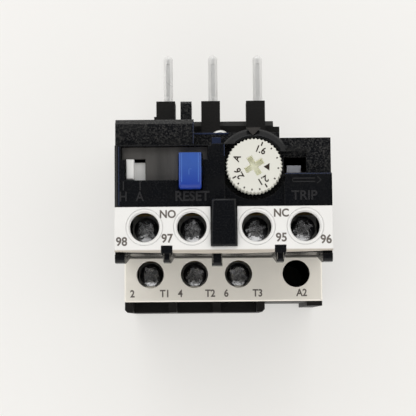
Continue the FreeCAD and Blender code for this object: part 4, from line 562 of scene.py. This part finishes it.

# painted highlights: pale bluish strips painted along the rounded lip of the ledge, the small slope
# under it, and the edges of the bar, the frame, the lower right block and the upper left block,
# where those edges catch the light
highlight_paint = finish_of("polished_black", (0.022, 0.032, 0.075), 0.18, specular=0.9, relief=0.05,
                     rounding=0.08)
edges = [
    bar(-6.1, 1.2, 8.6, 8.93, 57.45, 57.62),
    bar(-2.3, -0.4, 6.6, 7.95, 57.45, 57.56),
    bar(0.22, 0.35, 3.5, 5.95, 61.4, 61.66),
    bar(-21.85, -21.7, -6.9, 5.6, 61.4, 61.64),
    bar(13.0, 22.5, -0.42, -0.28, 61.4, 61.64),
    bar(22.42, 22.6, -6.9, -0.5, 61.3, 61.6),
    bar(-6.3, -6.15, 6.4, 11.0, 59.0, 59.24),
]
together("polished_edges", edges, highlight_paint, "housing")


def triangle(name, corners, low, high):
    """Mesh of a flat three-cornered piece; its corners run anticlockwise."""
    mesh = bpy.data.meshes.new(name)
    mesh.from_pydata([Vector((x, y, z)) * MM for z in (high, low) for x, y in corners], [],
                     [(0, 1, 2), (5, 4, 3), (0, 3, 4, 1), (1, 4, 5, 2), (2, 5, 3, 0)])
    return mesh


# the index of the dial lies in the notch of the collar, its point toward the dial; it is painted a
# paler grey than the collar, as painted light on the notch's sloping sides
index = triangle("index", ((6.35, 7.8), (7.9, 9.5), (4.9, 9.5)), 59.95, 60.95)
index_grey = finish_of("index_grey", (0.04, 0.037, 0.035), 0.5, specular=0.3, relief=0.2,
                       rounding=0.05)
together("collar_index", [index], index_grey, "housing")
# painted glints: pale lines painted along the edges of the ribs' tips, where the light catches them
glint_paint = finish_of("rubbed_black", (0.2, 0.19, 0.17), 0.3, specular=0.6, relief=0.3, rounding=0.05)
RIB_FACE = 60.7
glint_bars = []
for x in LUGGED_RIBS:
    glint_bars += [bar(x - 0.72, x - 0.58, -18.2, -16.4, RIB_FACE - 0.5, RIB_FACE + 0.03),
             bar(x + 0.58, x + 0.72, -18.2, -16.4, RIB_FACE - 0.5, RIB_FACE + 0.03),
             bar(x - 0.6, x + 0.6, -18.4, -18.25, RIB_FACE - 0.9, RIB_FACE - 0.4)]
glint_bars += [bar(x - 0.06, x + 0.06, -18.9, -16.6, RIB_FACE - 0.5, RIB_FACE + 0.03)
         for x in (-2.3, -0.42)]
together("rubbed_rib_edges", glint_bars, glint_paint, "housing")

# --- Control terminals: stamped brass plates whose strips carry the fixed contacts of the two
# auxiliary circuits, with the two moving bridges that the carrier holds between them.
dress(contact_brass, "control_terminal_95", "control_terminal_96", "control_terminal_97",
      "control_terminal_98", "nc_contact_bridge", "no_contact_bridge")

# --- Front terminal cover: white moulded sheet with a thick rounded lower edge, snapped between the
# barrier ribs; a fine ring is raised round each hole and the contact numbers are printed on it.
LOWER_EDGE = -15.95
SINK_RADIUS = 3.7
HOLE_RADIUS = 3.2
RING_SIDES = 64
RING_INNER = 3.74
RING_OUTER = 3.9
RING_RISE = 0.035
FRONT_WORDS = (("98", -21.2, -14.4, 1.75), ("97", -11.75, -13.8, 1.75), ("NO", -11.6, -8.75, 1.6),
               ("NC", 12.0, -8.65, 1.6), ("95", 12.0, -13.75, 1.75), ("96", 21.25, -14.2, 1.75))
white = finish_of("white_cover", (0.83, 0.825, 0.815), 0.38, specular=0.35, grain=1400, relief=0.04,
                  shade=0.97)
# painted shade: its thick lower edge, which faces down away from the light, is painted a darker
# beige
painted_edge_shade = fade(white.node_tree, "Y", LOWER_EDGE - 0.3, LOWER_EDGE, 1, 0)
tint_over(white, (0.47, 0.43, 0.375), painted_edge_shade)
# the countersinks are closed to the radius of the holes
cover_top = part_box("control_terminal_cover")[1].z
form = merged_copy("control_terminal_cover")
holes = [(a + b) / 2 for a, b in solids_of("control_terminal_screws")]
for vert in form.verts:
    for hole in holes:
        away = (vert.co - hole).xy
        if vert.co.z > cover_top - 0.01 * MM and abs(away.length - SINK_RADIUS * MM) < 0.1 * MM:
            vert.co.xy = hole.xy + away * HOLE_RADIUS / SINK_RADIUS
stand_in(form, "control_terminal_cover", "housing", white)
cover_face = cover_top / MM
together("front_strip_numbers",
         [lettering("number", words, height, (x, y, cover_face + INK), INK, weight=0.06, width=0.95)
          for words, x, y, height in FRONT_WORDS], print_ink, "housing")


def ring_mesh(x, y):
    """Fine raised ring round a hole."""
    form = bmesh.new()
    rings = [circle(form, radius, height, RING_SIDES, x, y)
             for radius, height in ((RING_INNER, cover_face),
                                    ((RING_INNER + RING_OUTER) / 2, cover_face + RING_RISE),
                                    (RING_OUTER, cover_face))]
    for k in range(RING_SIDES):
        after = (k + 1) % RING_SIDES
        for here, there in zip(rings, rings[1:] + rings[:1]):
            form.faces.new((here[k], here[after], there[after], there[k]))
    bmesh.ops.recalc_face_normals(form, faces=form.faces)
    mesh = bpy.data.meshes.new("ring")
    form.to_mesh(mesh)
    form.free()
    return mesh


together("hole_rings", [ring_mesh(hole.x / MM, hole.y / MM) for hole in holes], white, "housing")

# --- Guide plate: dark grey plate in the T-shaped window, cut out for the selector and the button.
# It has been wiped and scratched up and down, so its grain is drawn out that way.
plate_grey = finish_of("plate_grey", (0.092, 0.088, 0.084), 0.42, specular=0.4, grain=1600,
                       relief=0.8, stretch=0.12, shade=0.45, uneven=0.2)
dress(plate_grey, "guide_plate")

# --- Mode selector: white moulded slide with a ridge for the fingernail; the flat part beside the
# ridge lies deeper and in the plate's shade.
selector_white = finish_of("selector_white", (0.8, 0.8, 0.79), 0.4, specular=0.35, relief=0.05,
                           shade=0.94)
dress(selector_white, "mode_selector")

# --- Reset button: royal blue cap with chamfered sides and a round lower end; the moulding gate
# left a small mark in the middle of its face, and pale lines are painted along the two long edges
# of the face as painted highlights. A plated wire spring stands under its stem.
GATE_RISE = 0.004
EDGE_INSET = 0.3
EDGE_HALF = 0.08
button_blue = finish_of("button_blue", (0.036, 0.096, 0.375), 0.36, specular=0.45, grain=1400,
                        relief=0.12, shade=0.88)
# painted shade: the cap is painted a darker blue toward its round lower end
tint_over(button_blue, (0.012, 0.04, 0.3), fade(button_blue.node_tree, "Y", -3.2, 1.5, 1, 0))
dress(button_blue, "reset_button")
dress(plated_steel, "reset_spring")
low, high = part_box("reset_button")
middle = (low.x + high.x) / 2 / MM
face = [vert.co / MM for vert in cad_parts["reset_button"].data.vertices
        if vert.co.z > high.z - 0.01 * MM]
side = (max(v.x for v in face) - min(v.x for v in face)) / 2 - EDGE_INSET
top = max(v.y for v in face) - 0.15
bottom = min(v.y for v in face) + 0.25
marks = [(middle - 0.3, middle + 0.3, 0.5, 0.65), (middle - 0.3, middle - 0.15, -0.6, 0.65)]
# painted highlights: the pale lines along the two long edges of the face
for x in (middle - side, middle + side):
    marks.append((x - EDGE_HALF, x + EDGE_HALF, bottom, top))
gate_blue = finish_of("gate_blue", (0.06, 0.16, 0.52), 0.5)
together("gate_mark", [bar(*mark, high.z / MM - 0.1, high.z / MM + GATE_RISE) for mark in marks],
         gate_blue, "reset_button")

# --- Setting dial: ivory moulding with a knurled rim and a cross recess; its scale is printed in
# dark brown: ticks, the ampere figures, and a triangle beside the recess.
DIAL_AXIS = (6.5, 1.26)
CROSS_ANGLE = 30
RIM_WIDENED = 1.045
ARM_WIDENED = 1.28
ARM_LENGTHENED = 1.08
RECESS = 0.35
CROSS_REACH = 3
CROSS_FLOOR = 1.2
RIM_FROM = 4.5


def distance_from(tree, spot):
    """How far each place of the piece is from one spot."""
    place = tree.nodes.new("ShaderNodeTexCoord")
    away = tree.nodes.new("ShaderNodeVectorMath")
    away.operation = "DISTANCE"
    away.inputs[1].default_value = Vector(spot) * MM
    tree.links.new(place.outputs["Object"], away.inputs[0])
    return away.outputs["Value"]


# ivory, paler and yellower down in the cross, a little of it low on the rim
dial_white = finish_of("dial_white", (0.72, 0.715, 0.66), 0.42, specular=0.35, grain=1200,
                       relief=0.05, shade=0.97)
tree = dial_white.node_tree
from_axis = distance_from(tree, (*DIAL_AXIS, 62.5))
inside = ramp(tree, from_axis, 3.2 * MM, 3.6 * MM, 1, 0.25)
deep = reckon(tree, "MULTIPLY", fade(tree, "Z", 62.3, 62.48, 1, 0), inside)
tint_over(dial_white, (0.86, 0.86, 0.72), deep)
# the face is widened at the rim, and the cross is widened and made shallower
form = merged_copy("setting_dial")
face_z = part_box("setting_dial")[1].z
spin = Matrix.Rotation(math.radians(CROSS_ANGLE), 2)
for vert in form.verts:
    flat = vert.co.xy / MM - Vector(DIAL_AXIS)
    if vert.co.z > face_z - 0.01 * MM and flat.length > RIM_FROM:
        flat *= RIM_WIDENED
    elif vert.co.z > face_z - CROSS_FLOOR * MM and flat.length < CROSS_REACH:
        cross = spin.transposed() @ flat
        for axis in (0, 1):
            cross[axis] *= ARM_WIDENED if abs(cross[axis]) < 1 else ARM_LENGTHENED
        flat = spin @ cross
        if vert.co.z < face_z - 0.01 * MM:
            vert.co.z = face_z - RECESS * MM
    vert.co.xy = (flat + Vector(DIAL_AXIS)) * MM
stand_in(form, "setting_dial", "dial", dial_white)
dial_ink = finish_of("dial_print", (0.03, 0.02, 0.015), 0.55, specular=0.2, relief=0,
                     rounding=0.02)
dial_face = face_z / MM


def polar(radius, angle):
    """Spot on the dial's face."""
    return (DIAL_AXIS[0] + radius * math.cos(math.radians(angle)),
            DIAL_AXIS[1] + radius * math.sin(math.radians(angle)))


def tick(angle, inner, outer, width):
    """Radial line of the scale."""
    mesh = bar(inner, outer, -width / 2, width / 2, dial_face, dial_face + INK)
    centre = Matrix.Translation(Vector((*DIAL_AXIS, 0)) * MM)
    mesh.transform(centre @ Matrix.Rotation(math.radians(angle), 4, "Z"))
    return mesh


LONG_TICKS = (70, -60, -150)
SHORT_TICKS = (44.6, 18.5, -6.5, -33, -77.5, -96, -115, -132)
TICK_WIDTH = 0.28
# words, radius and angle
FIGURES = (("1.6", 3.5, 68), ("2.1", 3.5, -60), ("2.6", 3.5, -153), ("A", 3.9, 156))
marks = [tick(angle, 4.4, 5.25, TICK_WIDTH) for angle in LONG_TICKS]
marks += [tick(angle, 4.85, 5.22, TICK_WIDTH) for angle in SHORT_TICKS]
for words, radius, angle in FIGURES:
    spot = (*polar(radius, angle), dial_face + INK / 2)
    marks.append(lettering("figure", words, 1.4, spot, INK, weight=0.045, width=0.92,
                           turn=angle - 90))
corners = [(DIAL_AXIS[0] + x, DIAL_AXIS[1] + y)
           for x, y in ((1.95, -0.22), (3.12, -1.05), (3.2, 0.5))]
marks.append(triangle("triangle", corners, dial_face, dial_face + INK))
together("dial_scale", marks, dial_ink, "dial")

# --- Mechanism: tan moulded slides, bars and levers, the steel compensating lever with its
# bimetal, and plain pins. They lie behind the front and show only when the relay is taken apart.
mechanism_plastic = finish_of("mechanism_plastic", (0.55, 0.46, 0.32), 0.45, specular=0.4,
                              relief=0.08)
dress(mechanism_plastic, "setting_slide", "push_bar", "pull_bar", "trip_lever", "contact_carrier")
dress(plated_steel, "compensating_lever", "fulcrum_pin", "trip_lever_pin")
dress(bimetal, "compensating_bimetal")

# --- Trip flag: light grey moulded flag that shows in the window beside the dial, moved by the tip
# of the trip lever. Its stem is trimmed to the side of the flag, so it doesn't show.
STEM_RIGHT = 16.45
flag_grey = finish_of("flag_grey", (0.42, 0.43, 0.48), 0.4, specular=0.5, relief=0.08)
form = merged_copy("trip_flag")
for vert in form.verts:
    if vert.co.x > (STEM_RIGHT + 0.15) * MM:
        vert.co.x = STEM_RIGHT * MM
stand_in(form, "trip_flag", "trip_flag", flag_grey)

# --- Front screw: domed zinc plated screw behind the ledge, which holds the front housing to the
# rear housing; only the top of its head shows above the ledge.
bright_zinc = finish_of("bright_zinc", (0.7, 0.7, 0.68), 0.3, metallic=1, relief=0.06, shade=0.85)
dress(bright_zinc, "front_screw")

# --- Studio: the relay lies on its back on a pale table under a soft lamp beyond the pins. The
# room is pale all round and darker above the lens, so the black mouldings stay black.
PASSAGE = (16.49, -20.15)
PASSAGE_RADIUS = 5
TABLE_REACH = 1500
TABLE_LEVEL = -0.05
TABLE_SHEEN = 0.45
ROOM_LIGHT = 1.4
ROOM_SHOWN = 0.95


def shown_rays(tree):
    """1 for what the lens sees, straight or through gloss and glass."""
    path = tree.nodes.new("ShaderNodeLightPath")
    shown = path.outputs["Is Camera Ray"]
    for name in ("Is Glossy Ray", "Is Transmission Ray"):
        shown = reckon(tree, "MAXIMUM", shown, path.outputs[name])
    return shown


# the table looks a little brighter than its light makes it, except under the screw passage, which
# goes right through the relay
table = bpy.data.meshes.new("table_top")
table.from_pydata([Vector((x * TABLE_REACH, y * TABLE_REACH, TABLE_LEVEL)) * MM
                   for x, y in ((-1, -1), (1, -1), (1, 1), (-1, 1))], [], [(0, 1, 2, 3)])
floor = linked("table_top", table)
table_white = finish_of("table_white", (0.885, 0.88, 0.87), 0.6, specular=0.2, relief=0,
                        shade=0.995)
tree = table_white.node_tree
sheen = tree.nodes.new("ShaderNodeEmission")
sheen.inputs["Color"].default_value = (0.94, 0.925, 0.895, 1)
beyond = reckon(tree, "GREATER_THAN", distance_from(tree, (*PASSAGE, 0)), PASSAGE_RADIUS * MM)
lifted = reckon(tree, "MULTIPLY", shown_rays(tree), beyond)
pale = tree.nodes.new("ShaderNodeMixShader")
tree.links.new(reckon(tree, "MULTIPLY", lifted, TABLE_SHEEN), pale.inputs[0])
tree.links.new(tree.nodes["Principled BSDF"].outputs["BSDF"], pale.inputs[1])
tree.links.new(sheen.outputs["Emission"], pale.inputs[2])
tree.links.new(pale.outputs["Shader"], tree.nodes["Material Output"].inputs["Surface"])
floor.data.materials.append(table_white)

# the walls of the room look plain white in the lens, in metal and in gloss
world = bpy.data.worlds.new("room")
bpy.context.scene.world = world
world.use_nodes = True
sky = world.node_tree
light = sky.nodes["Background"]
light.inputs["Color"].default_value = (1, 0.985, 0.955, 1)
direction = sky.nodes.new("ShaderNodeTexCoord")
upward = sky.nodes.new("ShaderNodeSeparateXYZ")
level = sky.nodes.new("ShaderNodeMix")
level.inputs["A"].default_value = ROOM_LIGHT
level.inputs["B"].default_value = ROOM_SHOWN
sky.links.new(direction.outputs["Generated"], upward.inputs["Vector"])
sky.links.new(shown_rays(sky), level.inputs["Factor"])
above = ramp(sky, upward.outputs["Z"], 0.7, 0.95, 1, 0.043, "SMOOTHSTEP")
strength = reckon(sky, "MULTIPLY", above, level.outputs["Result"])
sky.links.new(strength, light.inputs["Strength"])

lamp = bpy.data.lights.new("soft_lamp", "AREA")
lamp.shape = "RECTANGLE"
lamp.size = 0.6
lamp.size_y = 0.4
lamp.energy = 1.1
lamp.color = (0.95, 0.98, 1)
key = linked("soft_lamp", lamp)
key.location = (-0.08, 0.52, 0.62)
key.rotation_euler = (Vector((0, 0, 0.03)) - key.location).to_track_quat("-Z", "Y").to_euler()

lens = bpy.data.cameras.new("studio_lens")
lens.sensor_width = 36
lens.lens = 117
lens.clip_start = 0.01
lens.clip_end = 5
camera = linked("studio_camera", lens)
forward = Vector((-0.0091, 0.0862, -1)).normalized()
upright = Vector((0.0087, 1, 0.0866)).normalized()
right = forward.cross(upright).normalized()
turn = Matrix((right, right.cross(forward), -forward)).transposed()
camera.matrix_world = Matrix.Translation(Vector((-0.65, -31.6, 342)) * MM) @ turn.to_4x4()
bpy.context.scene.camera = camera
bpy.context.scene.view_settings.view_transform = "Standard"
